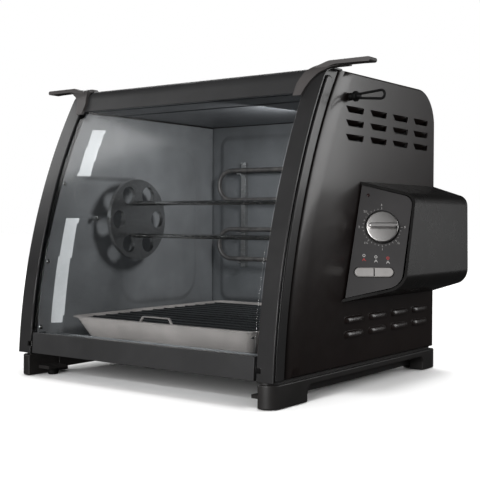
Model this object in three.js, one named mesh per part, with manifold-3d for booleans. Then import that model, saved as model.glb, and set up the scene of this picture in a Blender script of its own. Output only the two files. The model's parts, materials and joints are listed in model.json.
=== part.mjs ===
// Countertop rotisserie oven, in millimetres.
// +Z up, the curved glass door faces -Y, +X is the user's right (control pod side).
// Origin: floor level, middle of the width and of the depth.
import * as THREE from 'three';
import { mergeVertices } from 'three/addons/utils/BufferGeometryUtils.js';
import Module from 'manifold-3d';

const wasm = await Module();
wasm.setup();

// ---------------------------------------------------------------- driving dimensions
const HALF_DEPTH = 192; // front of the door foot to the back of the body
const BODY_TOP = 370; // roof height
const BODY_BOTTOM = 29; // underside of the body, above the foot rails
const BEZEL_HALF = 197; // outer edge of the curved front frames
const BEZEL_INNER = 175.5; // inner edge of the curved front frames
const WALL_HALF = 194; // outer face of the side walls
const SHEET = 1.6; // pressed steel thickness
const GAP = 0.3; // clearance between touching pieces

const FRONT = { y: 557, z: -10.5, r: 750 }; // centre and radius of the front curve, seen from the side
const TOP_FILLET = 28; // radius of the front top corner
const REAR_FILLET = 45; // radius of the rear top corner
const BEZEL_DEPTH = 30; // front curve back to the start of the side wall

const DOOR_HALF = 172;
const DOOR_BOTTOM = 29.6;
const DOOR_TOP_Y = -66; // where the door's top rail ends on the roof
const GLASS_LOW = 55;
const GLASS_HIGH = 340;
const PIVOT = { y: -178, z: 41 }; // door hinge axis

const CAVITY_HALF = 165;
const CAVITY_BACK = 166;
const CAVITY_FLOOR = 45;
const CAVITY_TOP = 340;

const SPIT = { y: -30, z: 198 };
const ROD_OFFSET = 22;
const ROD_RADIUS = 3;
const WHEEL_FACE = 140; // inner face of both spit wheels
const WHEEL_THICK = 6;
const GEAR_MODULE = 2.5;
const WHEEL_TEETH = 48;
const DRIVE_TEETH = 12;
const DRIVE_DIRECTION = -28.35 * Math.PI / 180; // from the spit axis towards the drive gear
const GEAR_DISTANCE = GEAR_MODULE * (WHEEL_TEETH + DRIVE_TEETH) / 2;
const DRIVE = {
  y: SPIT.y + GEAR_DISTANCE * Math.cos(DRIVE_DIRECTION),
  z: SPIT.z + GEAR_DISTANCE * Math.sin(DRIVE_DIRECTION),
};

const COIL = { y: 150, radius: 3.25, left: -118, right: 118, levels: [140, 184, 228, 272] };

const HANDLE_TIP = 252;
const HANDLE_TOP = 374.5;

const POD_WALL = 2.5;
const POD_TAPER = 0.13; // share of its width that the pod loses from front to back
const POD_FRONT_Y = 10;
const POD_BACK_Y = 191.5;

// The control panel leans back and faces outwards. Its own frame: u to the right, v up, n outwards.
const PANEL_AZIMUTH = 34 * Math.PI / 180;
const PANEL_LEAN = 0.295; // rearward run per unit of height along the side wall
const PANEL_ORIGIN = new THREE.Vector3(WALL_HALF, -29.2, 174);
const KNOB = { u: 36.1, v: 17 };
const KNOB_RADIUS = 18.7;
const SWITCH = { u: 26.1, v: -36.7, length: 44.6, width: 10.8 };
const LAMP = { u: 20.8, v: 55.6 };

// ---------------------------------------------------------------- solids and booleans
function solid(geometry) {
  const bare = geometry.clone();
  bare.deleteAttribute('normal');
  bare.deleteAttribute('uv');
  const merged = mergeVertices(bare, 1e-4);
  const index = merged.index.array;
  const triVerts = [];
  for (let i = 0; i < index.length; i += 3) {
    const [a, b, c] = [index[i], index[i + 1], index[i + 2]];
    if (a !== b && b !== c && c !== a) triVerts.push(a, b, c);
  }
  const vertProperties = new Float32Array(merged.attributes.position.array);
  const mesh = new wasm.Mesh({ numProp: 3, vertProperties, triVerts: new Uint32Array(triVerts) });
  return new wasm.Manifold(mesh);
}

function geometryOf(manifold) {
  const mesh = manifold.getMesh();
  const geometry = new THREE.BufferGeometry();
  geometry.setAttribute('position', new THREE.BufferAttribute(new Float32Array(mesh.vertProperties), 3));
  geometry.setIndex(new THREE.BufferAttribute(new Uint32Array(mesh.triVerts), 1));
  return geometry;
}

function join(...pieces) {
  return pieces.reduce((whole, piece) => whole.add(piece));
}

function cut(base, ...tools) {
  return tools.reduce((whole, tool) => whole.subtract(tool), base);
}

function box(x0, x1, y0, y1, z0, z1) {
  const geometry = new THREE.BoxGeometry(x1 - x0, y1 - y0, z1 - z0);
  geometry.translate((x0 + x1) / 2, (y0 + y1) / 2, (z0 + z1) / 2);
  return solid(geometry);
}

// A rod along an axis ('x', 'y' or 'z') from one end to the other, centred on the other two coordinates.
function rod(axis, from, to, radius, centre, sides = 24, radiusTo = radius) {
  const geometry = new THREE.CylinderGeometry(radiusTo, radius, to - from, sides);
  geometry.translate(0, (from + to) / 2, 0);
  if (axis === 'x') {
    geometry.rotateZ(-Math.PI / 2);
    geometry.translate(0, centre[0], centre[1]);
  } else if (axis === 'y') {
    geometry.translate(centre[0], 0, centre[1]);
  } else {
    geometry.rotateX(Math.PI / 2);
    geometry.translate(centre[0], centre[1], 0);
  }
  return solid(geometry);
}

const AXES_FROM_YZ = new THREE.Matrix4().set(0, 0, 1, 0, 1, 0, 0, 0, 0, 1, 0, 0, 0, 0, 0, 1);
const AXES_FROM_XZ = new THREE.Matrix4().set(1, 0, 0, 0, 0, 0, -1, 0, 0, 1, 0, 0, 0, 0, 0, 1);

function extrusion(points, depth, bevel, bevelSteps) {
  const shape = new THREE.Shape(points);
  const options = { depth, bevelEnabled: bevel > 0, curveSegments: 1 };
  if (bevel > 0) {
    Object.assign(options, { bevelThickness: bevel, bevelSize: bevel, bevelSegments: bevelSteps });
    options.depth = depth - 2 * bevel;
    options.bevelOffset = -bevel;
  }
  const geometry = new THREE.ExtrudeGeometry(shape, options);
  if (bevel > 0) geometry.translate(0, 0, bevel);
  return geometry;
}

// Outline in side view (y, z), extruded across the width.
function acrossX(points, x0, x1, bevel = 0, bevelSteps = 2) {
  const geometry = extrusion(points, x1 - x0, bevel, bevelSteps);
  geometry.applyMatrix4(AXES_FROM_YZ);
  geometry.translate(x0, 0, 0);
  return solid(geometry);
}

// Outline in front view (x, z), extruded along the depth.
function alongY(points, y0, y1) {
  const geometry = extrusion(points, y1 - y0, 0);
  geometry.applyMatrix4(AXES_FROM_XZ);
  geometry.translate(0, y1, 0);
  return solid(geometry);
}

function p(a, b) {
  return new THREE.Vector2(a, b);
}

function mirrored(manifold) {
  return manifold.mirror([1, 0, 0]);
}

// ---------------------------------------------------------------- outlines
function frontY(z, inset = 0) {
  const reach = FRONT.r - inset;
  return FRONT.y - Math.sqrt(reach * reach - (z - FRONT.z) ** 2);
}

const filletCentre = { z: BODY_TOP - TOP_FILLET };
filletCentre.y = FRONT.y - Math.sqrt((FRONT.r - TOP_FILLET) ** 2 - (filletCentre.z - FRONT.z) ** 2);
const FILLET_START = Math.atan2(filletCentre.z - FRONT.z, FRONT.y - filletCentre.y); // above the horizontal

function frontTangentZ(inset) {
  return FRONT.z + (FRONT.r - inset) * Math.sin(FILLET_START);
}

// Points up the front curve, between two heights.
function frontArc(zLow, zHigh, inset, steps) {
  const reach = FRONT.r - inset;
  const low = Math.asin((zLow - FRONT.z) / reach);
  const high = Math.asin((zHigh - FRONT.z) / reach);
  const points = [];
  for (let i = 0; i <= steps; i += 1) {
    const angle = low + (high - low) * i / steps;
    points.push(p(FRONT.y - reach * Math.cos(angle), FRONT.z + reach * Math.sin(angle)));
  }
  return points;
}

// Up the front curve, round the top corner and back along the roof.
function frontPath(zLow, roofY, inset, steps = 12) {
  const points = frontArc(zLow, frontTangentZ(inset), inset, steps);
  const cornerSteps = 6;
  for (let i = 1; i <= cornerSteps; i += 1) {
    const angle = FILLET_START + (Math.PI / 2 - FILLET_START) * i / cornerSteps;
    const reach = TOP_FILLET - inset;
    points.push(p(filletCentre.y - reach * Math.cos(angle), filletCentre.z + reach * Math.sin(angle)));
  }
  points.push(p(roofY, BODY_TOP - inset));
  return points;
}

function arcBand(zLow, zHigh, insetOut, insetIn, steps = 12) {
  return [...frontArc(zLow, zHigh, insetOut, steps), ...frontArc(zLow, zHigh, insetIn, steps).reverse()];
}

function cornerBand(zLow, roofY, insetOut, insetIn, steps = 12) {
  return [...frontPath(zLow, roofY, insetOut, steps), ...frontPath(zLow, roofY, insetIn, steps).reverse()];
}

// Closed polygon whose corners are rounded: [x, y, radius] each, anticlockwise or clockwise.
function roundedPolygon(corners, steps = 5) {
  const points = [];
  const count = corners.length;
  for (let i = 0; i < count; i += 1) {
    const here = p(corners[i][0], corners[i][1]);
    const radius = corners[i][2] || 0;
    if (radius === 0) {
      points.push(here);
      continue;
    }
    const before = p(...corners[(i + count - 1) % count]).sub(here).normalize();
    const after = p(...corners[(i + 1) % count]).sub(here).normalize();
    const half = Math.acos(THREE.MathUtils.clamp(before.dot(after), -1, 1)) / 2;
    const bisector = before.clone().add(after).normalize();
    const centre = here.clone().add(bisector.multiplyScalar(radius / Math.sin(half)));
    const start = here.clone().add(before.clone().multiplyScalar(radius / Math.tan(half))).sub(centre);
    const end = here.clone().add(after.clone().multiplyScalar(radius / Math.tan(half))).sub(centre);
    const turn = Math.atan2(start.x * end.y - start.y * end.x, start.dot(end));
    for (let k = 0; k <= steps; k += 1) {
      points.push(start.clone().rotateAround(p(0, 0), turn * k / steps).add(centre));
    }
  }
  return points;
}

function roundedBox(x0, x1, y0, y1, radius, steps = 4) {
  return roundedPolygon([[x0, y0, radius], [x1, y0, radius], [x1, y1, radius], [x0, y1, radius]], steps);
}

function capsule(cx, cy, length, width, steps = 8) {
  const radius = width / 2 - 0.01;
  return roundedBox(cx - length / 2, cx + length / 2, cy - width / 2, cy + width / 2, radius, steps);
}

// ---------------------------------------------------------------- the assembly
const group = new THREE.Group();

const FINISH = {
  body: { color: 0x2a2726, roughness: 0.32, metalness: 0.4 },
  plastic: { color: 0x1c1b1b, roughness: 0.45, metalness: 0 },
  liner: { color: 0x6c6e70, roughness: 0.35, metalness: 0.8 },
  steel: { color: 0xb8b9ba, roughness: 0.3, metalness: 1 },
  tray: { color: 0x9b9490, roughness: 0.35, metalness: 0.9 },
  grate: { color: 0x222222, roughness: 0.5, metalness: 0.3 },
  rubber: { color: 0x141414, roughness: 0.8, metalness: 0 },
  glass: { color: 0x9fb0b0, roughness: 0.05, metalness: 0 },
  panel: { color: 0x555455, roughness: 0.4, metalness: 0.3 },
  silver: { color: 0xc9c7c4, roughness: 0.35, metalness: 0.8 },
  grey: { color: 0xb4b0ae, roughness: 0.5, metalness: 0 },
  brass: { color: 0xb08d4c, roughness: 0.4, metalness: 1 },
  red: { color: 0x8c1612, roughness: 0.2, metalness: 0 },
};

function part(name, finish, manifold, matrix) {
  const material = new THREE.MeshStandardMaterial(FINISH[finish]);
  const mesh = new THREE.Mesh(geometryOf(manifold), material);
  mesh.name = name;
  if (matrix) mesh.applyMatrix4(matrix);
  group.add(mesh);
}

function pair(name, finish, rightSolid) {
  part(`right_${name}`, finish, rightSolid);
  part(`left_${name}`, finish, mirrored(rightSolid));
}

// ---------------------------------------------------------------- front frames and side walls
const SEAM_Y = frontY(BODY_TOP - 3, BEZEL_DEPTH); // where the frame meets the side wall, on the roof

function bezelOutline(insetOut) {
  const top = BODY_TOP - insetOut;
  const front = frontPath(BODY_BOTTOM, frontY(top, BEZEL_DEPTH), insetOut).slice(0, -1);
  return [...front, ...frontArc(BODY_BOTTOM, top, BEZEL_DEPTH, 12).reverse()];
}

function makeBezel() {
  const flange = acrossX(cornerBand(BODY_BOTTOM, SEAM_Y, 0, 2.5), BEZEL_INNER, BEZEL_HALF);
  const web = acrossX(bezelOutline(1.5), 187.5, 190);
  const bead = acrossX(arcBand(BODY_BOTTOM, 362, 6, 22, 10), 186, BEZEL_HALF, 4, 2);
  const hingeNotch = box(170, 181, -200, -170, PIVOT.z - 3, PIVOT.z + 3);
  return cut(join(flange, web, bead), hingeNotch);
}
pair('bezel', 'body', makeBezel());

function sideOutline(inset) {
  const gap = GAP + inset;
  const front = frontArc(BODY_BOTTOM + inset, BODY_TOP - inset, BEZEL_DEPTH + gap, 12);
  const rear = roundedPolygon([[HALF_DEPTH - inset, BODY_TOP - inset, REAR_FILLET - inset]].concat(
    [[HALF_DEPTH - inset, BODY_BOTTOM + inset, 0], [0, BODY_TOP - inset, 0]]), 7).slice(0, -1);
  return [...front, ...rear];
}

const LOUVRE = { pitch: 57, width: 42.5, height: 7.5, reach: 4.2, narrowing: 5, firstY: -43, columns: 4 };
const HOOD_SKIN = 1.3;
const UPPER_LOUVRES = [330.5, 314.5, 298];
const LOWER_LOUVRES = [87, 70];

// Lower rows: a pressed hood that opens downwards, a wedge on the wall hollowed through it.
function pressHood(wall, y0, top) {
  const low = top - LOUVRE.height;
  const lip = WALL_HALF + LOUVRE.reach;
  const wedge = alongY([p(WALL_HALF - 1, low), p(lip, low), p(WALL_HALF - 0.2, top), p(WALL_HALF - 1, top)],
    y0, y0 + LOUVRE.width);
  const hollow = alongY([p(WALL_HALF - 4, low - 0.6), p(lip - HOOD_SKIN, low - 0.6), p(lip - HOOD_SKIN, low),
    p(WALL_HALF - 0.6, top - 1.8), p(WALL_HALF - 4, top - 1.8)], y0 + 1, y0 + LOUVRE.width - 1);
  return cut(join(wall, wedge), hollow);
}

// Upper rows: a slot that narrows downwards, with its flap bent inwards from the upper edge.
function pressFlap(wall, y0, top) {
  const low = top - LOUVRE.height;
  const end = y0 + LOUVRE.width;
  const slot = acrossX([p(y0, top), p(y0 + LOUVRE.narrowing, low), p(end - LOUVRE.narrowing, low),
    p(end, top)], WALL_HALF - 4, WALL_HALF + 2);
  const flap = alongY([p(WALL_HALF - SHEET, top + 0.5), p(WALL_HALF - 0.3, top + 0.5),
    p(WALL_HALF - 5, low + 1), p(WALL_HALF - 6.2, low + 1)], y0 + 1, y0 + LOUVRE.width - 1);
  return join(cut(wall, slot), flap);
}

function makeSideWall(withPod) {
  const rim = 3;
  const skin = acrossX(sideOutline(0), BEZEL_INNER, WALL_HALF, rim, 2);
  const pocket = acrossX(sideOutline(SHEET), BEZEL_INNER - 5, WALL_HALF - SHEET);
  let wall = cut(skin, pocket);
  for (let column = 0; column < LOUVRE.columns; column += 1) {
    const y0 = LOUVRE.firstY + LOUVRE.pitch * column;
    for (const top of UPPER_LOUVRES) wall = pressFlap(wall, y0, top);
    for (const top of LOWER_LOUVRES) wall = pressHood(wall, y0, top);
  }
  const motorOpening = box(185, 200, 16, 100, 116, 186);
  const timerOpening = box(185, 200, -5, 60, 160, 212);
  return withPod ? cut(wall, motorOpening, timerOpening) : wall;
}
part('right_side_wall', 'body', makeSideWall(true));
part('left_side_wall', 'body', mirrored(makeSideWall(false)));

// ---------------------------------------------------------------- roof, back and bottom
const ROOF_HALF = BEZEL_INNER - GAP;

function makeRoof() {
  const outer = roundedPolygon([[DOOR_TOP_Y + 5, BODY_TOP, 0], [HALF_DEPTH, BODY_TOP, REAR_FILLET],
    [HALF_DEPTH, 322, 0]], 7);
  const inner = roundedPolygon([[HALF_DEPTH - SHEET, 322, 0], [HALF_DEPTH - SHEET, BODY_TOP - SHEET,
    REAR_FILLET - SHEET], [DOOR_TOP_Y + 5 + SHEET, BODY_TOP - SHEET, 0], [DOOR_TOP_Y + 5 + SHEET,
    BODY_TOP - 9, 0], [DOOR_TOP_Y + 5, BODY_TOP - 9, 0]], 7);
  return acrossX([...outer, ...inner], -ROOF_HALF, ROOF_HALF);
}
part('roof_panel', 'body', makeRoof());

function makeRearCover() {
  let plate = box(-ROOF_HALF, ROOF_HALF, HALF_DEPTH - SHEET, HALF_DEPTH, BODY_BOTTOM + GAP, 321.7);
  for (const z of [70, 82, 94, 250, 262, 274, 286]) {
    for (const x of [-120, -40, 40]) {
      plate = cut(plate, box(x, x + 60, HALF_DEPTH - 4, HALF_DEPTH + 4, z, z + 5));
    }
  }
  return plate;
}
part('rear_cover', 'body', makeRearCover());

const SKIRT = { half: 176, front: -143, back: 158, low: 6 };
const PAN_TOP = 31;

function makeBasePan() {
  const plate = box(-SKIRT.half + 1, SKIRT.half - 1, -156, HALF_DEPTH - 3, BODY_BOTTOM + GAP, PAN_TOP);
  const skirt = box(SKIRT.half - SHEET, SKIRT.half, SKIRT.front, SKIRT.back, SKIRT.low, PAN_TOP);
  return join(plate, skirt, mirrored(skirt));
}
part('base_pan', 'plastic', makeBasePan());
part('front_sill', 'liner', box(-CAVITY_HALF + GAP, CAVITY_HALF - GAP, -153, -151.4,
  PAN_TOP + GAP, 52));

// ---------------------------------------------------------------- foot rails and rubber feet
const FOOT = { low: 0.8, seam: 26.3, inner: 177, archLow: -125, archHigh: 157, archTop: 19 };

function makeFootRail() {
  const plan = roundedPolygon([[FOOT.inner, -HALF_DEPTH, 0], [BEZEL_HALF, -HALF_DEPTH, 15],
    [BEZEL_HALF, HALF_DEPTH, 6], [FOOT.inner, HALF_DEPTH, 0]], 5);
  const block = new THREE.ExtrudeGeometry(new THREE.Shape(plan), {
    depth: FOOT.seam - FOOT.low, bevelEnabled: false });
  block.translate(0, 0, FOOT.low);
  const neckPlan = roundedPolygon([[FOOT.inner + 1, -HALF_DEPTH + 4, 0], [BEZEL_HALF - 6, -HALF_DEPTH + 4, 11],
    [BEZEL_HALF - 6, HALF_DEPTH - 4, 4], [FOOT.inner + 1, HALF_DEPTH - 4, 0]], 4);
  const neck = new THREE.ExtrudeGeometry(new THREE.Shape(neckPlan), {
    depth: BODY_BOTTOM - GAP - FOOT.seam + 1, bevelEnabled: false });
  neck.translate(0, 0, FOOT.seam - 1);
  const archOutline = roundedPolygon([[FOOT.archLow, -5, 0], [FOOT.archHigh, -5, 0],
    [FOOT.archHigh, FOOT.archTop, 9], [FOOT.archLow, FOOT.archTop, 9]], 4);
  const arch = acrossX(archOutline, FOOT.inner - 5, BEZEL_HALF + 5);
  const toes = [[-176, -146], [160, 186]].map(([y0, y1]) => box(158, FOOT.inner + 2, y0, y1, 8, 12));
  return join(cut(join(solid(block), solid(neck)), arch), ...toes);
}
pair('foot_rail', 'plastic', makeFootRail());

for (const [end, y] of [['front', -162], ['rear', 174]]) {
  const pad = join(rod('z', 0, 5, 6.2, [166, y], 20, 7), rod('z', 4.5, 7.7, 7, [166, y], 20));
  pair(`rubber_foot_${end}`, 'rubber', pad);
}

// ---------------------------------------------------------------- oven cavity
const LINER_FRONT = 8;
const STEP_INSET = 33;
const WING_X = 174.8;

function linerOutline(insetFront, back, low, high) {
  return [...frontArc(low, high, insetFront, 10), p(back, high), p(back, low)];
}

function makeLiner(withDriveHole) {
  const high = CAVITY_TOP - 1.5;
  const main = acrossX(linerOutline(STEP_INSET, CAVITY_BACK - GAP, CAVITY_FLOOR + 2, high), CAVITY_HALF,
    CAVITY_HALF + 1.8);
  const wing = acrossX(arcBand(CAVITY_FLOOR + 2, high, LINER_FRONT, STEP_INSET + 2, 10), WING_X - 1.8, WING_X);
  const riser = acrossX(arcBand(CAVITY_FLOOR + 2, high, STEP_INSET, STEP_INSET + 2, 10), CAVITY_HALF, WING_X);
  const panelOutline = roundedPolygon([[-38, 84, 34], [118, 84, 34], [118, 300, 34], [-38, 300, 34]], 5);
  const raised = acrossX(panelOutline, CAVITY_HALF - 1.4, CAVITY_HALF + 0.5);
  let liner = join(main, wing, riser, raised);
  const centre = [SPIT.y, SPIT.z];
  if (withDriveHole) {
    const ends = [COIL.levels[0], COIL.levels[COIL.levels.length - 1]];
    liner = cut(liner, rod('x', 150, 190, 7, [DRIVE.y, DRIVE.z], 24),
      ...ends.map((z) => rod('x', 150, 190, COIL.radius + 1, [COIL.y, z], 12)));
  }
  return cut(liner, rod('x', 150, 190, 3, centre, 16));
}
part('right_liner', 'liner', makeLiner(true));
part('left_liner', 'liner', mirrored(makeLiner(false)));

function makeRearLiner() {
  const half = CAVITY_HALF + 1.8;
  const sheet = box(-half, half, CAVITY_BACK, CAVITY_BACK + SHEET, CAVITY_FLOOR + 2, CAVITY_TOP + SHEET);
  const outline = roundedBox(-147, 147, 77, 322, 12, 4);
  return join(sheet, alongY(outline, CAVITY_BACK - 1.6, CAVITY_BACK + 0.5));
}
part('rear_liner', 'liner', makeRearLiner());

function makeCeiling() {
  const half = CAVITY_HALF + 1.8;
  const sheet = box(-half, half, frontY(CAVITY_TOP, 14), CAVITY_BACK - GAP, CAVITY_TOP, CAVITY_TOP + SHEET);
  return join(sheet, box(-half, half, -40, -36, CAVITY_TOP - 1.2, CAVITY_TOP + 0.5));
}
part('ceiling_liner', 'liner', makeCeiling());
part('cavity_floor', 'liner', box(-CAVITY_HALF - 6, CAVITY_HALF + 6, -151, CAVITY_BACK + SHEET,
  CAVITY_FLOOR, CAVITY_FLOOR + SHEET));

// The tray's four walls lean outwards; floorHalf, floorFront and floorBack bound its floor.
const TRAY = { low: 47.5, rim: 75.2, lean: 15, floorHalf: 128, floorFront: -135, floorBack: 140, sheet: 1.5 };
const TRAY_LIP = 3.5;

function leaningBlock(grow, low, high) {
  const run = TRAY.lean / (TRAY.rim - TRAY.low);
  const at = (z) => (z - TRAY.low) * run + grow;
  const front = alongY([p(-TRAY.floorHalf - at(low), low), p(TRAY.floorHalf + at(low), low),
    p(TRAY.floorHalf + at(high), high), p(-TRAY.floorHalf - at(high), high)], -200, 200);
  const side = acrossX([p(TRAY.floorFront - at(low), low), p(TRAY.floorBack + at(low), low),
    p(TRAY.floorBack + at(high), high), p(TRAY.floorFront - at(high), high)], -200, 200);
  return front.intersect(side);
}

// A strip bent into a trapezoid that stands on the front lip, to lift the tray by.
function makeTrayLoop() {
  const y = TRAY.floorFront - TRAY.lean - TRAY_LIP + 1;
  const foot = TRAY.rim - 1;
  const outer = [p(-27, foot), p(27, foot), p(21, TRAY.rim + 7.5), p(-21, TRAY.rim + 7.5)];
  const inner = [p(-25, foot - 1), p(25, foot - 1), p(19.6, TRAY.rim + 6), p(-19.6, TRAY.rim + 6)];
  return cut(alongY(outer, y, y + 2.4), alongY(inner, y - 1, y + 4));
}

function makeDripTray() {
  const shell = leaningBlock(0, TRAY.low, TRAY.rim);
  const inside = leaningBlock(-TRAY.sheet, TRAY.low + TRAY.sheet, TRAY.rim + 5);
  const reach = TRAY.lean + TRAY_LIP;
  const lip = box(-TRAY.floorHalf - reach, TRAY.floorHalf + reach, TRAY.floorFront - reach,
    TRAY.floorBack + reach, TRAY.rim - TRAY.sheet, TRAY.rim);
  return join(cut(join(shell, lip), inside), makeTrayLoop());
}
part('drip_tray', 'tray', makeDripTray());

// Ribbed cover that lies inside the tray's walls.
const GRATE = { low: 66.5, top: 72.6, rib: 74.4, half: 136.6, front: -143.6, back: 148.6 };

function makeGrate() {
  let grate = box(-GRATE.half, GRATE.half, GRATE.front, GRATE.back, GRATE.low, GRATE.top);
  grate = cut(grate, box(-GRATE.half + 1.5, GRATE.half - 1.5, GRATE.front + 1.5, GRATE.back - 1.5,
    GRATE.low - 1, GRATE.top - 1.5));
  const pitch = 23;
  for (let i = 0; i < 12; i += 1) {
    const y = GRATE.front + 17 + pitch * i;
    grate = join(grate, box(-130, 130, y, y + 3, GRATE.top - 0.5, GRATE.rib));
    for (const x of [-124, 8]) {
      grate = cut(grate, box(x, x + 116, y + 9, y + 14, GRATE.low, GRATE.rib));
    }
  }
  return grate;
}
part('grate_cover', 'grate', makeGrate());

// ---------------------------------------------------------------- heating element

// Centre line of the serpentine: straight runs joined by half turns, ends out through the right liner.
function coilPoints() {
  const turn = (COIL.levels[1] - COIL.levels[0]) / 2;
  const terminal = CAVITY_HALF + 12;
  const at = (x, z) => new THREE.Vector3(x, COIL.y, z);
  const points = [at(terminal, COIL.levels[0])];
  for (let i = 0; i < COIL.levels.length - 1; i += 1) {
    const side = i % 2 === 0 ? -1 : 1;
    const x = side < 0 ? COIL.left : COIL.right;
    for (let k = 0; k <= 8; k += 1) {
      const angle = -Math.PI / 2 + Math.PI * k / 8;
      points.push(at(x + side * turn * Math.cos(angle), COIL.levels[i] + turn + turn * Math.sin(angle)));
    }
  }
  points.push(at(terminal, COIL.levels[COIL.levels.length - 1]));
  return points;
}

// A path that is sampled only at its own points, so straight runs stay one step long.
class Polyline extends THREE.Curve {
  constructor(points) {
    super();
    this.points = points;
  }

  getPointAt(u) {
    return this.points[Math.round(u * (this.points.length - 1))].clone();
  }

  getTangentAt(u) {
    const i = Math.round(u * (this.points.length - 1));
    const before = this.points[Math.max(i - 1, 0)];
    const here = this.points[i];
    const after = this.points[Math.min(i + 1, this.points.length - 1)];
    const inward = here.clone().sub(before).normalize();
    const outward = after.clone().sub(here).normalize();
    return inward.add(outward).normalize();
  }
}

function makeElement() {
  const section = new THREE.Shape();
  section.absarc(0, 0, COIL.radius, 0, 2 * Math.PI, false);
  const points = coilPoints();
  const geometry = new THREE.ExtrudeGeometry(section, { extrudePath: new Polyline(points),
    steps: points.length - 1, curveSegments: 4, bevelEnabled: false });
  return solid(geometry);
}
part('heating_element', 'steel', makeElement());

function makeElementBracket() {
  let bracket = box(96, 104, 156, CAVITY_BACK - 2, COIL.levels[0] - 12, COIL.levels[3] + 12);
  for (const level of COIL.levels) {
    const under = level - COIL.radius - 1;
    bracket = join(bracket, box(96, 104, 145.5, 157, under - 2, under));
  }
  return bracket;
}
pair('element_bracket', 'steel', makeElementBracket());
part('thermal_cutout', 'plastic', join(rod('y', CAVITY_BACK + SHEET + GAP, 176, 8, [120, 300], 20),
  box(114, 126, 175, 180, 297, 303)));

// ---------------------------------------------------------------- spit, wheels and drive
function gearOutline(teeth, tip, root, fill, phase) {
  const pitch = 2 * Math.PI / teeth;
  const points = [];
  for (let i = 0; i < teeth; i += 1) {
    const centre = phase + pitch * i;
    for (const [reach, share] of [[root, -0.34], [tip, -0.155], [tip, 0.155], [root, 0.34]]) {
      const angle = centre + share * fill * pitch;
      points.push(p(reach * Math.cos(angle), reach * Math.sin(angle)));
    }
  }
  return points;
}

function placedOutline(points, centre) {
  return points.map((point) => p(point.x + centre.y, point.y + centre.z));
}

const WHEEL_PITCH = GEAR_MODULE * WHEEL_TEETH / 2;
const DRIVE_PITCH = GEAR_MODULE * DRIVE_TEETH / 2;
const HUB_END = 152;
const STUB_END = 163;

function rodHoles(x0, x1, radius) {
  return [1, -1].map((side) => rod('x', x0, x1, radius, [SPIT.y, SPIT.z + side * ROD_OFFSET], 12));
}

function makeWheel(outline) {
  const face = acrossX(placedOutline(outline, SPIT), WHEEL_FACE, WHEEL_FACE + WHEEL_THICK);
  const hub = rod('x', WHEEL_FACE + 1, HUB_END, 10, [SPIT.y, SPIT.z], 20);
  const stub = rod('x', HUB_END - 1, STUB_END, 4, [SPIT.y, SPIT.z], 16);
  const windows = [];
  for (const angle of [0, 60, 120, 180, 240, 300].map(THREE.MathUtils.degToRad)) {
    const centre = [SPIT.y + 38 * Math.cos(angle), SPIT.z + 38 * Math.sin(angle)];
    windows.push(rod('x', WHEEL_FACE - 2, WHEEL_FACE + 10, 12, centre, 8));
  }
  return cut(join(face, hub, stub), ...windows, ...rodHoles(WHEEL_FACE - 2, WHEEL_FACE + 8, ROD_RADIUS + GAP));
}

const wheelGap = DRIVE_DIRECTION + Math.PI / WHEEL_TEETH;
part('spit_gear_wheel', 'steel', makeWheel(gearOutline(WHEEL_TEETH, WHEEL_PITCH + 2, WHEEL_PITCH - 3, 0.98,
  wheelGap)));

const roundRim = roundedBox(-55, 55, -55, 55, 54.9, 6);
part('spit_end_wheel', 'steel', mirrored(makeWheel(roundRim)));

function makeRod(side) {
  const centre = [SPIT.y, SPIT.z + side * ROD_OFFSET];
  const bar = rod('x', -WHEEL_FACE - 8, WHEEL_FACE + 5, ROD_RADIUS, centre, 12);
  return join(bar, rod('x', -WHEEL_FACE - 18, -WHEEL_FACE - 7.9, 0.5, centre, 12, ROD_RADIUS));
}
part('upper_spit_rod', 'steel', makeRod(1));
part('lower_spit_rod', 'steel', makeRod(-1));

function makeSpitSupport() {
  const { y, z } = SPIT;
  const block = box(HUB_END + 1.5, CAVITY_HALF - GAP - 1.4, y - 11, y + 11, z - 14, z + 8);
  return cut(block, rod('x', 150, 170, 4.4, [y, z], 20), box(150, 170, y - 4.4, y + 4.4, z, z + 20));
}
pair('spit_support', 'steel', makeSpitSupport());

const studY = -95;
part('guide_stud', 'steel', mirrored(join(rod('x', 158, 164.7, 2, [studY, 199.7], 12),
  rod('x', 154, 158.5, 3.4, [studY, 199.7], 16))));

function makeDriveGear() {
  const phase = DRIVE_DIRECTION + Math.PI;
  const outline = gearOutline(DRIVE_TEETH, DRIVE_PITCH + 2, DRIVE_PITCH - 3, 0.9, phase);
  const teeth = acrossX(placedOutline(outline, DRIVE), WHEEL_FACE - 1, WHEEL_FACE + WHEEL_THICK + 2);
  return join(teeth, rod('x', WHEEL_FACE + 3, 199, 4, [DRIVE.y, DRIVE.z], 16));
}
part('drive_gear', 'steel', makeDriveGear());

const MOTOR = { y: DRIVE.y + 22, z: DRIVE.z - 11, radius: 27 };
part('motor_bracket', 'steel', cut(box(195, 196.5, 24, 92, 118, 182), rod('x', 190, 200, 9,
  [DRIVE.y, DRIVE.z], 20)));

function makeMotor() {
  const gearbox = rod('x', 196.8, 212, MOTOR.radius, [MOTOR.y, MOTOR.z], 28);
  const coil = rod('x', 211, 228, 19, [MOTOR.y, MOTOR.z], 24);
  return cut(join(gearbox, coil), rod('x', 190, 201, 4.4, [DRIVE.y, DRIVE.z], 16));
}
part('gear_motor', 'steel', makeMotor());

// ---------------------------------------------------------------- door
part('door_glass', 'glass', acrossX(arcBand(GLASS_LOW + GAP, GLASS_HIGH - GAP, 1.2, 5.2, 14),
  -DOOR_HALF + 0.5, DOOR_HALF - 0.5));

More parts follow.
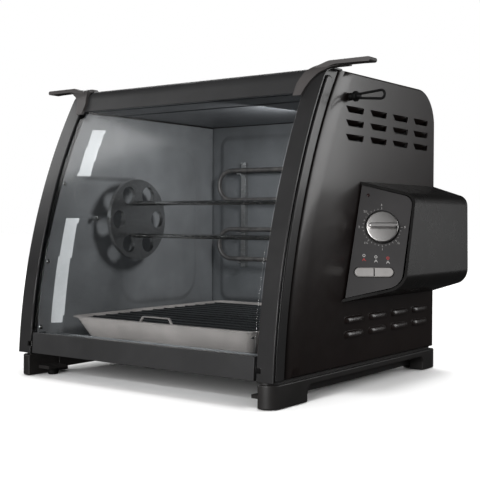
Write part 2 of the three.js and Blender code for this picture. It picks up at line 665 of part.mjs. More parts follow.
function makeBottomRail() {
  const face = acrossX(arcBand(DOOR_BOTTOM, GLASS_LOW, 0.1, 2.3, 3), -DOOR_HALF, DOOR_HALF);
  const lower = acrossX(arcBand(DOOR_BOTTOM, DOOR_BOTTOM + 2, 1, 15, 1), -DOOR_HALF, DOOR_HALF);
  const upper = acrossX(arcBand(GLASS_LOW - 2, GLASS_LOW, 1, 8, 1), -DOOR_HALF, DOOR_HALF);
  const cheek = cut(acrossX(arcBand(DOOR_BOTTOM, GLASS_LOW, 1, 18.5, 3), DOOR_HALF - 3, DOOR_HALF),
    rod('x', 160, 180, 2.8, [PIVOT.y, PIVOT.z], 16));
  return join(face, lower, upper, cheek, mirrored(cheek));
}
part('door_bottom_rail', 'body', makeBottomRail());

function makeTopRail() {
  const skin = acrossX(cornerBand(GLASS_HIGH, DOOR_TOP_Y, 0, 2.2, 3), -DOOR_HALF, DOOR_HALF);
  const lower = acrossX(arcBand(GLASS_HIGH, GLASS_HIGH + 2, 1, 9, 1), -DOOR_HALF, DOOR_HALF);
  const rear = box(-DOOR_HALF, DOOR_HALF, DOOR_TOP_Y - 2, DOOR_TOP_Y, BODY_TOP - 8, BODY_TOP);
  return join(skin, lower, rear);
}
part('door_top_rail', 'body', makeTopRail());

function makeHandle() {
  const wrap = acrossX(cornerBand(336, DOOR_TOP_Y, -4, -GAP, 4), 160, 215);
  const boomerang = alongY([p(166.5, 335), p(177, 335), p(179.5, 344), p(184, 353), p(191, 361), p(200, 366),
    p(215, 369), p(215, 380), p(191, 380), p(179, 371), p(171, 362), p(167.3, 352), p(166.5, 344)], -140, -60);
  const leg = wrap.intersect(boomerang);
  const wing = acrossX(roundedPolygon([[-92, 370.6, 1.5], [-76, 370.6, 1.5], [-76, HANDLE_TOP, 1.5],
    [-92, HANDLE_TOP, 1.5]], 2), 182, HANDLE_TIP);
  const nubs = [205, 219, 233].map((x) => rod('y', -90, -78, 1.1, [x, HANDLE_TOP - 0.3], 8));
  return join(leg, wing, ...nubs);
}
pair('door_handle', 'plastic', makeHandle());

pair('hinge_pin', 'steel', join(rod('x', DOOR_HALF - 6, 184, 2.5, [PIVOT.y, PIVOT.z], 16),
  rod('x', DOOR_HALF - 8, DOOR_HALF - 3.3, 4, [PIVOT.y, PIVOT.z], 16)));

function makeHingeBracket() {
  const plate = box(178.5, 180.5, -187, -163.5, BODY_BOTTOM + 1, 58);
  const foot = box(178.5, 185.7, -187, -163.5, BODY_BOTTOM + 1, BODY_BOTTOM + 2.6);
  return cut(join(plate, foot), rod('x', 170, 190, 2.8, [PIVOT.y, PIVOT.z], 16));
}
pair('hinge_bracket', 'steel', makeHingeBracket());

// ---------------------------------------------------------------- control pod
const panelU = new THREE.Vector3(Math.cos(PANEL_AZIMUTH), Math.sin(PANEL_AZIMUTH), 0);
const panelN = panelU.clone().cross(new THREE.Vector3(0, PANEL_LEAN, 1)).normalize();
const panelV = panelN.clone().cross(panelU);
const panelFrame = new THREE.Matrix4().makeBasis(panelU, panelV, panelN).setPosition(PANEL_ORIGIN);

// Outline in panel coordinates (u, v), extruded along the panel's normal.
function onPanel(points, n0, n1) {
  const geometry = new THREE.ExtrudeGeometry(new THREE.Shape(points), { depth: n1 - n0, bevelEnabled: false });
  geometry.translate(0, 0, n0);
  return solid(geometry);
}

function panelRod(u, v, n0, n1, radius, sides = 28, radiusTo = radius) {
  return rod('z', n0, n1, radius, [u, v], sides, radiusTo);
}

function podOutline(inset, wallX) {
  const slope = inset * 1.04;
  return roundedPolygon([[wallX, 103.9 + slope, 0], [252.4 - inset, 120.2 + slope, 20 - inset],
    [250.6 - inset, 228.4 - slope, 12 - inset], [wallX, 244 - slope, 0]], 6);
}

function podPrism(inset, wallX, y0, y1) {
  const geometry = extrusion(podOutline(inset, wallX), y1 - y0, 0);
  geometry.applyMatrix4(AXES_FROM_XZ);
  geometry.translate(0, y1, 0);
  const position = geometry.attributes.position;
  for (let i = 0; i < position.count; i += 1) {
    const run = (position.getY(i) - POD_FRONT_Y) / (POD_BACK_Y - POD_FRONT_Y);
    const x = position.getX(i);
    position.setX(i, WALL_HALF + (x - WALL_HALF) * (1 - POD_TAPER * Math.max(run, 0)));
  }
  return solid(geometry);
}

function makePod() {
  const front = -80;
  const outer = join(podPrism(0, WALL_HALF + GAP, front, POD_FRONT_Y), podPrism(0, WALL_HALF + GAP,
    POD_FRONT_Y, POD_BACK_Y));
  const inner = join(podPrism(POD_WALL, WALL_HALF - 3, front - 5, POD_FRONT_Y), podPrism(POD_WALL,
    WALL_HALF - 3, POD_FRONT_Y, POD_BACK_Y - POD_WALL));
  const beyond = new THREE.BoxGeometry(300, 300, 200);
  beyond.translate(0, 0, 100);
  beyond.applyMatrix4(panelFrame);
  const cordHole = rod('y', 180, 200, 8.3, [222, 134], 20);
  return cut(outer, inner, solid(beyond), cordHole);
}
part('control_pod', 'plastic', makePod());

const PANEL_CORNERS = [[-7.2, -67, 0], [57, -52, 20], [72.8, 53, 11], [13.6, 67.8, 0]];

function makePanel() {
  const plate = onPanel(roundedPolygon(PANEL_CORNERS, 6), -3.5, -1);
  const knobHole = panelRod(KNOB.u, KNOB.v, -6, 3, KNOB_RADIUS + 1.5, 32);
  const switchHole = onPanel(capsule(SWITCH.u, SWITCH.v, SWITCH.length + 2.4, SWITCH.width + 1.2), -6, 3);
  const lampHole = panelRod(LAMP.u, LAMP.v, -6, 3, 1.9, 12);
  return cut(plate, knobHole, switchHole, lampHole);
}
part('control_panel', 'panel', makePanel(), panelFrame);

function makeKnob() {
  const skirt = panelRod(KNOB.u, KNOB.v, -2, 2.5, KNOB_RADIUS, 36);
  const crown = panelRod(KNOB.u, KNOB.v, 2.4, 4, KNOB_RADIUS, 36, KNOB_RADIUS - 1.5);
  const grip = onPanel(roundedBox(KNOB.u - 16, KNOB.u + 16, KNOB.v - 2.8, KNOB.v + 2.8, 2.4, 3), 3, 12);
  return cut(join(skirt, crown, grip), panelRod(KNOB.u, KNOB.v, -4, 4, 3.3, 16));
}
part('timer_knob', 'silver', makeKnob(), panelFrame);
part('timer_shaft', 'brass', panelRod(KNOB.u, KNOB.v, -15, 3.6, 3, 16), panelFrame);
part('timer_body', 'steel', cut(join(panelRod(KNOB.u, KNOB.v, -26, -6, 19.5, 28),
  onPanel(roundedBox(KNOB.u - 22, KNOB.u + 22, KNOB.v - 6, KNOB.v + 6, 3, 2), -7, -5)),
panelRod(KNOB.u, KNOB.v, -16, 0, 3.3, 16)), panelFrame);

function makeRockerCap() {
  const cap = onPanel(capsule(SWITCH.u, SWITCH.v, SWITCH.length, SWITCH.width), -3.5, 1.6);
  const stem = onPanel(roundedBox(SWITCH.u - 5, SWITCH.u + 5, SWITCH.v - 3.5, SWITCH.v + 3.5, 1, 1), -7, -3);
  return join(cap, stem);
}
part('rocker_cap', 'grey', makeRockerCap(), panelFrame);
part('rocker_switch_body', 'plastic', onPanel(roundedBox(SWITCH.u - 15, SWITCH.u + 15, SWITCH.v - 6.5,
  SWITCH.v + 6.5, 1.5, 2), -22, -8.5), panelFrame);
part('indicator_lens', 'red', join(panelRod(LAMP.u, LAMP.v, -5, -0.6, 1.6, 12),
  panelRod(LAMP.u, LAMP.v, -0.7, 0, 1.6, 12, 0.9)), panelFrame);

part('terminal_block', 'plastic', box(196, 212, 120, 152, 114, 126));
part('cord_bushing', 'rubber', cut(join(rod('y', 184, 191.8, 7.9, [222, 134], 20), rod('y', 182, 188.7, 10,
  [222, 134], 20)), rod('y', 170, 200, 4, [222, 134], 16)));

// ---------------------------------------------------------------- cord keeper on the right wall
function makeCordKeeper() {
  const y = -34;
  const z = 341;
  const plug = rod('x', WALL_HALF + GAP, 199.5, 4.6, [y, z], 16);
  const collar = rod('x', 199.4, 204, 6, [y, z], 16);
  const outer = roundedPolygon([[203, z - 3.6, 0], [240.5, z - 6.8, 5.8], [240.5, z + 6.8, 5.8],
    [203, z + 3.6, 0]], 5);
  const inner = roundedPolygon([[210, z - 1, 0], [237.7, z - 4, 3.3], [237.7, z + 4, 3.3],
    [210, z + 1, 0]], 5);
  return join(plug, collar, cut(alongY(outer, y - 1.5, y + 1.5), alongY(inner, y - 3, y + 3)));
}
part('cord_keeper', 'rubber', makeCordKeeper());

export default group;
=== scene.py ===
"""Looks of a countertop rotisserie oven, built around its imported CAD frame.

Outlines are worked out in millimetres and turned into metres where a mesh is made.
+Z is up, the curved glass door faces -Y and the control pod is on the +X side.
"""
import json
import math

import bmesh
import bpy
from mathutils import Matrix, Vector

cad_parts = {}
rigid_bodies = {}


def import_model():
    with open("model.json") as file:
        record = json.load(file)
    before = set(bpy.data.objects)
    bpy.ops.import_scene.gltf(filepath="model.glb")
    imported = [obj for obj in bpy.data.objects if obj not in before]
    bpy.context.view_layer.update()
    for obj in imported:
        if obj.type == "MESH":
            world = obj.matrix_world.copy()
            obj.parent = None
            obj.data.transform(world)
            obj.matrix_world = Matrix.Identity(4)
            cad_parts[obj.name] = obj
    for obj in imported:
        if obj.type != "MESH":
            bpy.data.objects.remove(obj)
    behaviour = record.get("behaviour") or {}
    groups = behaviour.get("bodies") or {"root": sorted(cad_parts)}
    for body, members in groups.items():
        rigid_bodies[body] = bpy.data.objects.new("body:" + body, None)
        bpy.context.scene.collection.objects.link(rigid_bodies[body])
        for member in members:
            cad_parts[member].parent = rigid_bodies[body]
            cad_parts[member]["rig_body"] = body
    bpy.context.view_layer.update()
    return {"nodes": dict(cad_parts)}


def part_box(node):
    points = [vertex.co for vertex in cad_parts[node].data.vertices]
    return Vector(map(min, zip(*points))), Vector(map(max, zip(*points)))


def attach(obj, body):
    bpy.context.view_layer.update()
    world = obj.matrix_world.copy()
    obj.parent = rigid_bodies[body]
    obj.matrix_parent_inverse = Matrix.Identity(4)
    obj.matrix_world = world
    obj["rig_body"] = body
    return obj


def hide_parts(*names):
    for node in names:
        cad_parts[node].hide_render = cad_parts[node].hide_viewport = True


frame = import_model()

MM = 0.001
FINE_MERGE = 1e-7  # metres between points that become one
COARSE_MERGE = 1e-6
NODES = frame["nodes"]


def corners(node):
    """Lowest and highest corner of a CAD node, in millimetres."""
    low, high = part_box(node)
    return low / MM, high / MM


# ---------------- driving dimensions, in mm
BEZEL_LOW, BEZEL_HIGH = corners("right_bezel")
ROOF_LOW, ROOF_HIGH = corners("roof_panel")
GLASS_LOW, GLASS_HIGH = corners("door_glass")
RAIL_LOW, RAIL_HIGH = corners("door_bottom_rail")
TOP_RAIL_LOW, TOP_RAIL_HIGH = corners("door_top_rail")
LINER_LOW = corners("right_liner")[0]
BACK_LOW, BACK_HIGH = corners("rear_liner")
TRAY_LOW, TRAY_HIGH = corners("drip_tray")
FOOT_LOW, FOOT_HIGH = corners("right_foot_rail")
HANDLE_HIGH = corners("right_door_handle")[1]

HALF_DEPTH = ROOF_HIGH.y
BODY_TOP = ROOF_HIGH.z
BODY_BOTTOM = BEZEL_LOW.z
BEZEL_INNER = BEZEL_LOW.x
BEZEL_OUTER = BEZEL_HIGH.x
WALL_OUTER = 194.0
SHEET = 1.6

FRONT_Y, FRONT_Z, FRONT_R = 557.0, -10.5, 750.0  # centre and radius of the front curve
TOP_FILLET = 28.0
REAR_FILLET = 45.0
BEZEL_DEPTH = 30.0

SPIT_Y, SPIT_Z = -30.0, 198.0
PANEL_AZIMUTH = math.radians(34)
PANEL_LEAN = 0.295
PANEL_ORIGIN = Vector((WALL_OUTER, -29.2, 174.0))
KNOB_U, KNOB_V, KNOB_R = 36.1, 17.0, 18.7
SWITCH_U, SWITCH_V, SWITCH_LONG, SWITCH_WIDE = 26.1, -36.7, 44.6, 10.8
LAMP_U, LAMP_V = 20.8, 55.6

PANEL_U = Vector((math.cos(PANEL_AZIMUTH), math.sin(PANEL_AZIMUTH), 0))
PANEL_N = PANEL_U.cross(Vector((0, PANEL_LEAN, 1))).normalized()
PANEL_V = PANEL_N.cross(PANEL_U)


# ---------------- outlines
def front_y(z, inset=0.0):
    return FRONT_Y - math.sqrt((FRONT_R - inset) ** 2 - (z - FRONT_Z) ** 2)


FILLET_Z = BODY_TOP - TOP_FILLET
FILLET_Y = FRONT_Y - math.sqrt((FRONT_R - TOP_FILLET) ** 2 - (FILLET_Z - FRONT_Z) ** 2)
FILLET_START = math.atan2(FILLET_Z - FRONT_Z, FRONT_Y - FILLET_Y)
SEAM_Y = front_y(BODY_TOP - 3, BEZEL_DEPTH)


def front_arc(z_low, z_high, inset, steps=36):
    """Points up the front curve, as (y, z)."""
    reach = FRONT_R - inset
    low = math.asin((z_low - FRONT_Z) / reach)
    high = math.asin((z_high - FRONT_Z) / reach)
    angles = [low + (high - low) * i / steps for i in range(steps + 1)]
    return [(FRONT_Y - reach * math.cos(a), FRONT_Z + reach * math.sin(a)) for a in angles]


def front_path(z_low, roof_y, inset, steps=36, corner_steps=14):
    """Up the front curve, round the top corner and back along the roof."""
    points = front_arc(z_low, FRONT_Z + (FRONT_R - inset) * math.sin(FILLET_START), inset, steps)
    reach = TOP_FILLET - inset
    for i in range(1, corner_steps + 1):
        a = FILLET_START + (math.pi / 2 - FILLET_START) * i / corner_steps
        points.append((FILLET_Y - reach * math.cos(a), FILLET_Z + reach * math.sin(a)))
    points.append((roof_y, BODY_TOP - inset))
    return points


def arc_band(z_low, z_high, outer, inner, steps=36):
    return front_arc(z_low, z_high, outer, steps) + front_arc(z_low, z_high, inner, steps)[::-1]


def corner_band(z_low, roof_y, outer, inner, steps=36):
    return front_path(z_low, roof_y, outer, steps) + front_path(z_low, roof_y, inner, steps)[::-1]


def rounded(points, steps=10):
    """Polygon with rounded corners, each given as (a, b, radius)."""
    result = []
    count = len(points)
    for i, (a, b, radius) in enumerate(points):
        here = Vector((a, b))
        if radius <= 0:
            result.append((a, b))
            continue
        before = (Vector(points[i - 1][:2]) - here).normalized()
        after = (Vector(points[(i + 1) % count][:2]) - here).normalized()
        half = math.acos(max(-1, min(1, before.dot(after)))) / 2
        centre = here + (before + after).normalized() * (radius / math.sin(half))
        start = here + before * (radius / math.tan(half)) - centre
        end = here + after * (radius / math.tan(half)) - centre
        turn = math.atan2(start.x * end.y - start.y * end.x, start.dot(end))
        for k in range(steps + 1):
            spin = Matrix.Rotation(turn * k / steps, 2)
            result.append(tuple(centre + spin @ start))
    return result


def rounded_box(a0, a1, b0, b1, radius, steps=8):
    return rounded([(a0, b0, radius), (a1, b0, radius), (a1, b1, radius), (a0, b1, radius)], steps)


def arc(a, b, radius, start, turn, steps):
    """Points round (a, b) from the start angle, through turn."""
    angles = [start + turn * i / steps for i in range(steps + 1)]
    return [(a + radius * math.cos(t), b + radius * math.sin(t)) for t in angles]


def circle(a, b, radius, sides=48):
    return arc(a, b, radius, 0, 2 * math.pi, sides)[:-1]


def capsule(a, b, length, width, steps=16):
    end = width / 2 - 0.01
    return rounded_box(a - length / 2, a + length / 2, b - width / 2, b + width / 2, end, steps)


# ---------------- where an outline's points go
def across_x(a, b, depth):
    return Vector((depth, a, b))


def along_y(a, b, depth):
    return Vector((a, depth, b))


def up_z(a, b, depth):
    return Vector((a, b, depth))


def on_panel(a, b, depth):
    return PANEL_ORIGIN + PANEL_U * a + PANEL_V * b + PANEL_N * depth


# ---------------- meshes
def placed(name, data):
    """A new object in the scene: a mesh, a light, a camera or text."""
    obj = bpy.data.objects.new(name, data)
    bpy.context.scene.collection.objects.link(obj)
    return obj


def face_outwards(obj, merge=0.0):
    """Turns every face outwards, once points closer than merge metres have become one."""
    bm = bmesh.new()
    bm.from_mesh(obj.data)
    if merge:
        bmesh.ops.remove_doubles(bm, verts=bm.verts, dist=merge)
    bmesh.ops.recalc_face_normals(bm, faces=bm.faces)
    bm.to_mesh(obj.data)
    bm.free()
    return obj


def make_object(name, points, faces):
    mesh = bpy.data.meshes.new(name)
    mesh.from_pydata([Vector(point) * MM for point in points], [], faces)
    return face_outwards(placed(name, mesh))


def prism(outline, low, high, place):
    """A closed solid: the outline, extruded from low to high."""
    n = len(outline)
    points = [place(a, b, d) for d in (low, high) for a, b in outline]
    faces = [list(range(n)), list(range(2 * n - 1, n - 1, -1))]
    faces += [[i, (i + 1) % n, (i + 1) % n + n, i + n] for i in range(n)]
    return make_object("prism", points, faces)


def loft(rings, close_ends=True):
    """Quads between rings that have the same number of points."""
    n = len(rings[0])
    points = [point for ring in rings for point in ring]
    faces = []
    for k in range(len(rings) - 1):
        for i in range(n):
            j = (i + 1) % n
            faces.append([k * n + i, k * n + j, (k + 1) * n + j, (k + 1) * n + i])
    if close_ends:
        faces.append(list(range(n)))
        faces.append([(len(rings) - 1) * n + i for i in range(n)])
    return make_object("loft", points, faces)


def lathe(profile, place, centre, sides=48):
    """Solid of revolution: profile is (radius, depth) from one end of the axis to the other."""
    rings = [[place(a, b, depth) for a, b in circle(*centre, max(radius, 0.02), sides)]
             for radius, depth in profile]
    return loft(rings)


def block(x0, x1, y0, y1, z0, z1):
    return prism([(x0, y0), (x1, y0), (x1, y1), (x0, y1)], z0, z1, up_z)


def evaluated(obj):
    """Replaces the object's mesh by what its modifiers make of it."""
    bpy.context.view_layer.update()
    graph = bpy.context.evaluated_depsgraph_get()
    mesh = bpy.data.meshes.new_from_object(obj.evaluated_get(graph))
    obj.modifiers.clear()
    obj.data = mesh
    return obj


def combine(target, operation, *tools):
    """Boolean of the target with each tool, which is used up."""
    for tool in tools:
        modifier = target.modifiers.new("boolean", "BOOLEAN")
        modifier.operation = operation
        modifier.solver = "EXACT"
        modifier.object = tool
        evaluated(target)
        bpy.data.objects.remove(tool)
    return target


def cut(target, *tools):
    return combine(target, "DIFFERENCE", *tools)


def join(target, *tools):
    return combine(target, "UNION", *tools)


def gather(objects):
    """One object that holds the meshes of all of them."""
    bm = bmesh.new()
    for obj in objects:
        bm.from_mesh(obj.data)
    mesh = bpy.data.meshes.new("gathered")
    bm.to_mesh(mesh)
    bm.free()
    for obj in objects:
        bpy.data.objects.remove(obj)
    return placed("gathered", mesh)


def mirror_x(obj):
    """A mirrored copy of a finished mesh."""
    mesh = obj.data.copy()
    mesh.transform(Matrix.Scale(-1, 4, (1, 0, 0)))
    mesh.flip_normals()
    return placed("mirrored", mesh)


def moved_to_left(obj):
    """The mirror image, in place of the original."""
    left = mirror_x(obj)
    bpy.data.objects.remove(obj)
    return left


def bevelled(obj, width, segments=3, angle=32):
    modifier = obj.modifiers.new("bevel", "BEVEL")
    modifier.width = width * MM
    modifier.segments = segments
    modifier.limit_method = "ANGLE"
    modifier.angle_limit = math.radians(angle)
    modifier.use_clamp_overlap = True
    return evaluated(obj)


def smoothed(obj, angle=38):
    """Smooth shading that keeps the real edges and the flat faces."""
    obj.data.polygons.foreach_set("use_smooth", [True] * len(obj.data.polygons))
    obj.data.set_sharp_from_angle(angle=math.radians(angle))
    modifier = obj.modifiers.new("normals", "WEIGHTED_NORMAL")
    modifier.keep_sharp = True
    modifier.weight = 60
    return evaluated(obj)


def dress(obj, node, material, name=None, bevel=0.0, segments=3, angle=32, smooth=38):
    """Names a piece after the CAD node that it stands for, and gives it its body and material."""
    if bevel:
        bevelled(obj, bevel, segments, angle)
    smoothed(obj, smooth)
    obj.name = name or node + "_finished"
    obj.data.name = obj.name
    obj.data.materials.clear()
    obj.data.materials.append(material)
    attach(obj, NODES[node]["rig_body"])
    return obj


def stand_for(obj, node, material, **looks):
    dress(obj, node, material, **looks)
    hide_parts(node)
    return obj


def pair_for(obj, node, material, **looks):
    """The right piece and its mirror image, for the CAD nodes right_NODE and left_NODE."""
    left = mirror_x(obj)
    stand_for(obj, "right_" + node, material, **looks)
    stand_for(left, "left_" + node, material, **looks)


def refined(node, material, bevel=0.4, segments=2):
    """A finer copy of a plain CAD solid: its flat faces are merged and its edges rounded."""
    mesh = NODES[node].data.copy()
    obj = placed(node, mesh)
    bm = bmesh.new()
    bm.from_mesh(mesh)
    bmesh.ops.remove_doubles(bm, verts=bm.verts, dist=COARSE_MERGE)
    bmesh.ops.dissolve_limit(bm, angle_limit=math.radians(1), verts=bm.verts, edges=bm.edges)
    bm.to_mesh(mesh)
    bm.free()
    return stand_for(obj, node, material, bevel=bevel, segments=segments, angle=40)


# ---------------- shader building
class Shader:
    """A procedural material: a Principled shader with helpers for what feeds it."""

    def __init__(self, name, roughness=0.5, metallic=0.0, coat=0.0, coat_roughness=0.1):
        self.material = bpy.data.materials.new(name)
        self.material.use_nodes = True
        self.tree = self.material.node_tree
        self.surface = self.tree.nodes["Principled BSDF"]
        self.surface.inputs["Roughness"].default_value = roughness
        self.surface.inputs["Metallic"].default_value = metallic
        self.surface.inputs["Coat Weight"].default_value = coat
        self.surface.inputs["Coat Roughness"].default_value = coat_roughness

    def node(self, kind, **settings):
        node = self.tree.nodes.new(kind)
        for key, value in settings.items():
            setattr(node, key, value)
        return node

    def link(self, output, target):
        self.tree.links.new(output, target)

    def place(self, stretch=(1, 1, 1)):
        """Coordinates in metres, stretched along the axes."""
        coordinates = self.node("ShaderNodeTexCoord")
        mapping = self.node("ShaderNodeMapping")
        mapping.inputs["Scale"].default_value = stretch
        self.link(coordinates.outputs["Object"], mapping.inputs["Vector"])
        return mapping.outputs["Vector"]

    def noise(self, size, stretch=(1, 1, 1), detail=4.0, roughness=0.55):
        """Noise whose features are about size millimetres across."""
        texture = self.node("ShaderNodeTexNoise")
        texture.inputs["Scale"].default_value = 1 / (size * MM)
        texture.inputs["Detail"].default_value = detail
        texture.inputs["Roughness"].default_value = roughness
        self.link(self.place(stretch), texture.inputs["Vector"])
        return texture.outputs["Fac"]

    def ramp(self, value, *stops):
        """Colours, or greys, between places on the value."""
        node = self.node("ShaderNodeValToRGB")
        elements = node.color_ramp.elements
        while len(elements) < len(stops):
            elements.new(0.5)
        for element, (place, colour) in zip(elements, stops):
            element.position = place
            grey = isinstance(colour, (int, float))
            element.color = (colour, colour, colour, 1) if grey else (*colour, 1)
        self.link(value, node.inputs["Fac"])
        return node.outputs["Color"]

    def math(self, operation, value, *constants):
        node = self.node("ShaderNodeMath", operation=operation)
        self.link(value, node.inputs[0])
        for i, constant in enumerate(constants):
            node.inputs[i + 1].default_value = constant
        return node.outputs["Value"]

    def multiply(self, first, second):
        node = self.node("ShaderNodeMix", data_type="RGBA", blend_type="MULTIPLY")
        node.inputs["Factor"].default_value = 1.0
        self.link(first, node.inputs["A"])
        self.link(second, node.inputs["B"])
        return node.outputs["Result"]

    def colour(self, output):
        self.link(output, self.surface.inputs["Base Color"])

    def mottle(self, colour, noise, *shares):
        """The colour, darker and lighter by the shares that are given with their places on the noise."""
        self.colour(self.ramp(noise, *[(place, tint(colour, share)) for place, share in shares]))

    def rough(self, output):
        self.link(output, self.surface.inputs["Roughness"])

    def bump(self, height, distance, strength):
        """Relief in the shading: distance is its depth in millimetres."""
        node = self.node("ShaderNodeBump")
        node.inputs["Strength"].default_value = strength
        node.inputs["Distance"].default_value = distance * MM
        self.link(height, node.inputs["Height"])
        self.link(node.outputs["Normal"], self.surface.inputs["Normal"])


def tint(colour, gain):
    return tuple(min(channel * gain, 1) for channel in colour)


def enamel(name, colour, roughness, coat=0.4):
    """Stoved paint on steel: faint cloudiness, a fine orange peel and fingerprints in its gloss."""
    s = Shader(name, roughness, coat=coat, coat_roughness=0.12)
    cloud = s.noise(55, detail=3)
    s.mottle(colour, cloud, (0.3, 0.86), (0.7, 1.16))
    smear = s.noise(18, detail=6, roughness=0.65)
    s.rough(s.ramp(smear, (0.35, roughness * 0.96), (0.7, roughness * 1.08)))
    peel = s.noise(1.6, detail=2)
    s.bump(peel, 0.012, 0.25)
    return s.material


def moulded(name, colour, roughness, grain=0.7, depth=0.05, shine=0.5):
    """Moulded plastic with a spark-eroded grain."""
    s = Shader(name, roughness)
    s.surface.inputs["Specular IOR Level"].default_value = shine
    s.mottle(colour, s.noise(30, detail=4), (0.3, 0.85), (0.75, 1.2))
    s.rough(s.ramp(s.noise(24, detail=2), (0.3, roughness * 0.94), (0.7, roughness * 1.08)))
    s.bump(s.noise(grain, detail=3), depth, 0.5)
    return s.material


def brushed(name, colour, roughness, stretch, streak=0.5, depth=0.01, mottled=0.12, metallic=1.0):
    """Sheet or bright metal with a grain along one axis and a slight mottling."""
    s = Shader(name, roughness, metallic=metallic)
    lines = s.noise(streak, stretch=stretch, detail=5, roughness=0.7)
    cloud = s.noise(42, detail=5)
    shade = s.ramp(cloud, (0.3, tint(colour, 1 - mottled)), (0.7, tint(colour, 1 + mottled)))
    fine = s.ramp(lines, (0.25, 0.86), (0.75, 1.0))
    s.colour(s.multiply(shade, fine))
    s.rough(s.ramp(lines, (0.25, roughness * 0.75), (0.75, roughness * 1.3)))
    s.bump(lines, depth, 0.6)
    return s.material


def heated_rod(name):
    """Sheathed heating element: dull grey oxide with darker bands."""
    s = Shader(name, 0.5, metallic=0.85)
    s.colour(s.ramp(s.noise(9, detail=6), (0.3, (0.16, 0.15, 0.15)), (0.7, (0.32, 0.30, 0.29))))
    s.rough(s.ramp(s.noise(3, detail=4), (0.3, 0.38), (0.7, 0.6)))
    s.bump(s.noise(0.8), 0.03, 0.4)
    return s.material


def pane(name, colour):
    """Thin window: it lets light straight through, tinted, and mirrors more the flatter it is seen."""
    s = Shader(name)
    s.tree.nodes.remove(s.surface)
    clear = s.node("ShaderNodeBsdfTransparent")
    film = s.ramp(s.noise(70, detail=4), (0.3, tint(colour, 0.97)), (0.7, tint(colour, 1.03)))
    s.link(film, clear.inputs["Color"])
    mirror = s.node("ShaderNodeBsdfGlossy")
    mirror.inputs["Color"].default_value = (1, 1, 1, 1)
    s.link(s.ramp(s.noise(25, detail=5), (0.4, 0.11), (0.75, 0.17)), mirror.inputs["Roughness"])
    weight = s.node("ShaderNodeLayerWeight")
    weight.inputs["Blend"].default_value = 0.5
    power = s.math("POWER", weight.outputs["Facing"], 5.0)
    mix = s.node("ShaderNodeMixShader")
    s.link(s.math("MULTIPLY_ADD", power, 0.95, 0.045), mix.inputs["Fac"])
    s.link(clear.outputs["BSDF"], mix.inputs[1])
    s.link(mirror.outputs["BSDF"], mix.inputs[2])
    s.link(mix.outputs["Shader"], s.tree.nodes["Material Output"].inputs["Surface"])
    return s.material


def lens(name):
    s = Shader(name, 0.12, coat=0.6, coat_roughness=0.05)
    s.colour(s.ramp(s.noise(1.2), (0.3, (0.022, 0.006, 0.005)), (0.7, (0.035, 0.008, 0.007))))
    s.bump(s.noise(0.5), 0.02, 0.2)
    return s.material


def printed(name, colour):
    """Screen-printed ink, slightly uneven."""
    s = Shader(name, 0.55)
    s.mottle(colour, s.noise(0.6, detail=3), (0.3, 0.8), (0.7, 1))
    s.bump(s.noise(0.2), 0.01, 0.3)
    return s.material


BODY = enamel("body_enamel", (0.014, 0.0092, 0.0082), 0.30, coat=0.3)
RAIL = enamel("rail_enamel", (0.032, 0.032, 0.033), 0.48, coat=0.0)
FRAME = enamel("frame_enamel", (0.026, 0.0257, 0.0263), 0.33, coat=0.2)
PLASTIC = moulded("black_plastic", (0.021, 0.0197, 0.0192), 0.40, depth=0.03)
POD = moulded("pod_plastic", (0.012, 0.0115, 0.0113), 0.28, grain=2.0, depth=0.0003)
GRIP = moulded("handle_plastic", (0.080, 0.074, 0.073), 0.45, depth=0.03)
RUBBER = moulded("rubber", (0.004, 0.004, 0.004), 0.6, grain=1.2, depth=0.06, shine=0.2)
LINER = brushed("liner_steel", (0.30, 0.305, 0.315), 0.40, (1, 0.04, 1), streak=0.8, metallic=0.6)
BACK_LINER = brushed("back_liner_steel", (0.20, 0.205, 0.215), 0.40, (0.04, 1, 1), streak=0.8, metallic=0.6)
STEEL = brushed("bright_steel", (0.62, 0.61, 0.60), 0.24, (0.05, 1, 1), streak=0.6, mottled=0.06)
# Near-white and barely metallic: a painted highlight for the liner's sloped step, standing in for bright
# reflections there.
PAINTED_RISER_HIGHLIGHT = brushed("painted_riser_highlight", (0.93, 0.93, 0.94), 0.45, (1, 0.04, 1), streak=0.8,
                 mottled=0.04, metallic=0.05)
TRAY = brushed("tray_steel", (0.50, 0.46, 0.44), 0.42, (0.03, 1, 1), streak=0.7, metallic=0.5)
GRATE = enamel("grate_coating", (0.020, 0.021, 0.022), 0.45, coat=0.0)
ROD = heated_rod("element_sheath")
PANEL = enamel("panel_paint", (0.042, 0.040, 0.041), 0.45, coat=0.05)
SILVER = brushed("knob_silver", (0.62, 0.605, 0.595), 0.36, (1, 1, 0.06), streak=0.4, mottled=0.03)
GREY = moulded("rocker_grey", (0.44, 0.425, 0.415), 0.42, grain=0.5, depth=0.02)
BRASS = brushed("brass", (0.60, 0.45, 0.20), 0.32, (0.1, 0.1, 1), mottled=0.05)
WINDOW = pane("tinted_glass", (0.80, 0.815, 0.82))
LENS = lens("lamp_lens")
WHITE_INK = printed("white_ink", (0.62, 0.61, 0.60))
RED_INK = printed("red_ink", (0.55, 0.05, 0.05))


# ---------------- camera, light and floor
def look_from(name, place, azimuth, elevation, roll, lens_mm):
    """Camera at a place, looking back along azimuth and elevation (degrees), rolled about its view."""
    az, el, turn = (math.radians(angle) for angle in (azimuth, elevation, roll))
    back = Vector((math.sin(az) * math.cos(el), -math.cos(az) * math.cos(el), math.sin(el)))
    right = Vector((math.cos(az), math.sin(az), 0))
    up = back.cross(right)
    side = right * math.cos(turn) + up * math.sin(turn)
    top = up * math.cos(turn) - right * math.sin(turn)
    camera = placed(name, bpy.data.cameras.new(name))
    camera.matrix_world = Matrix((side, top, back)).transposed().to_4x4()
    camera.location = place
    camera.data.lens = lens_mm
    camera.data.sensor_width = 36
    camera.data.clip_end = 50
    return camera


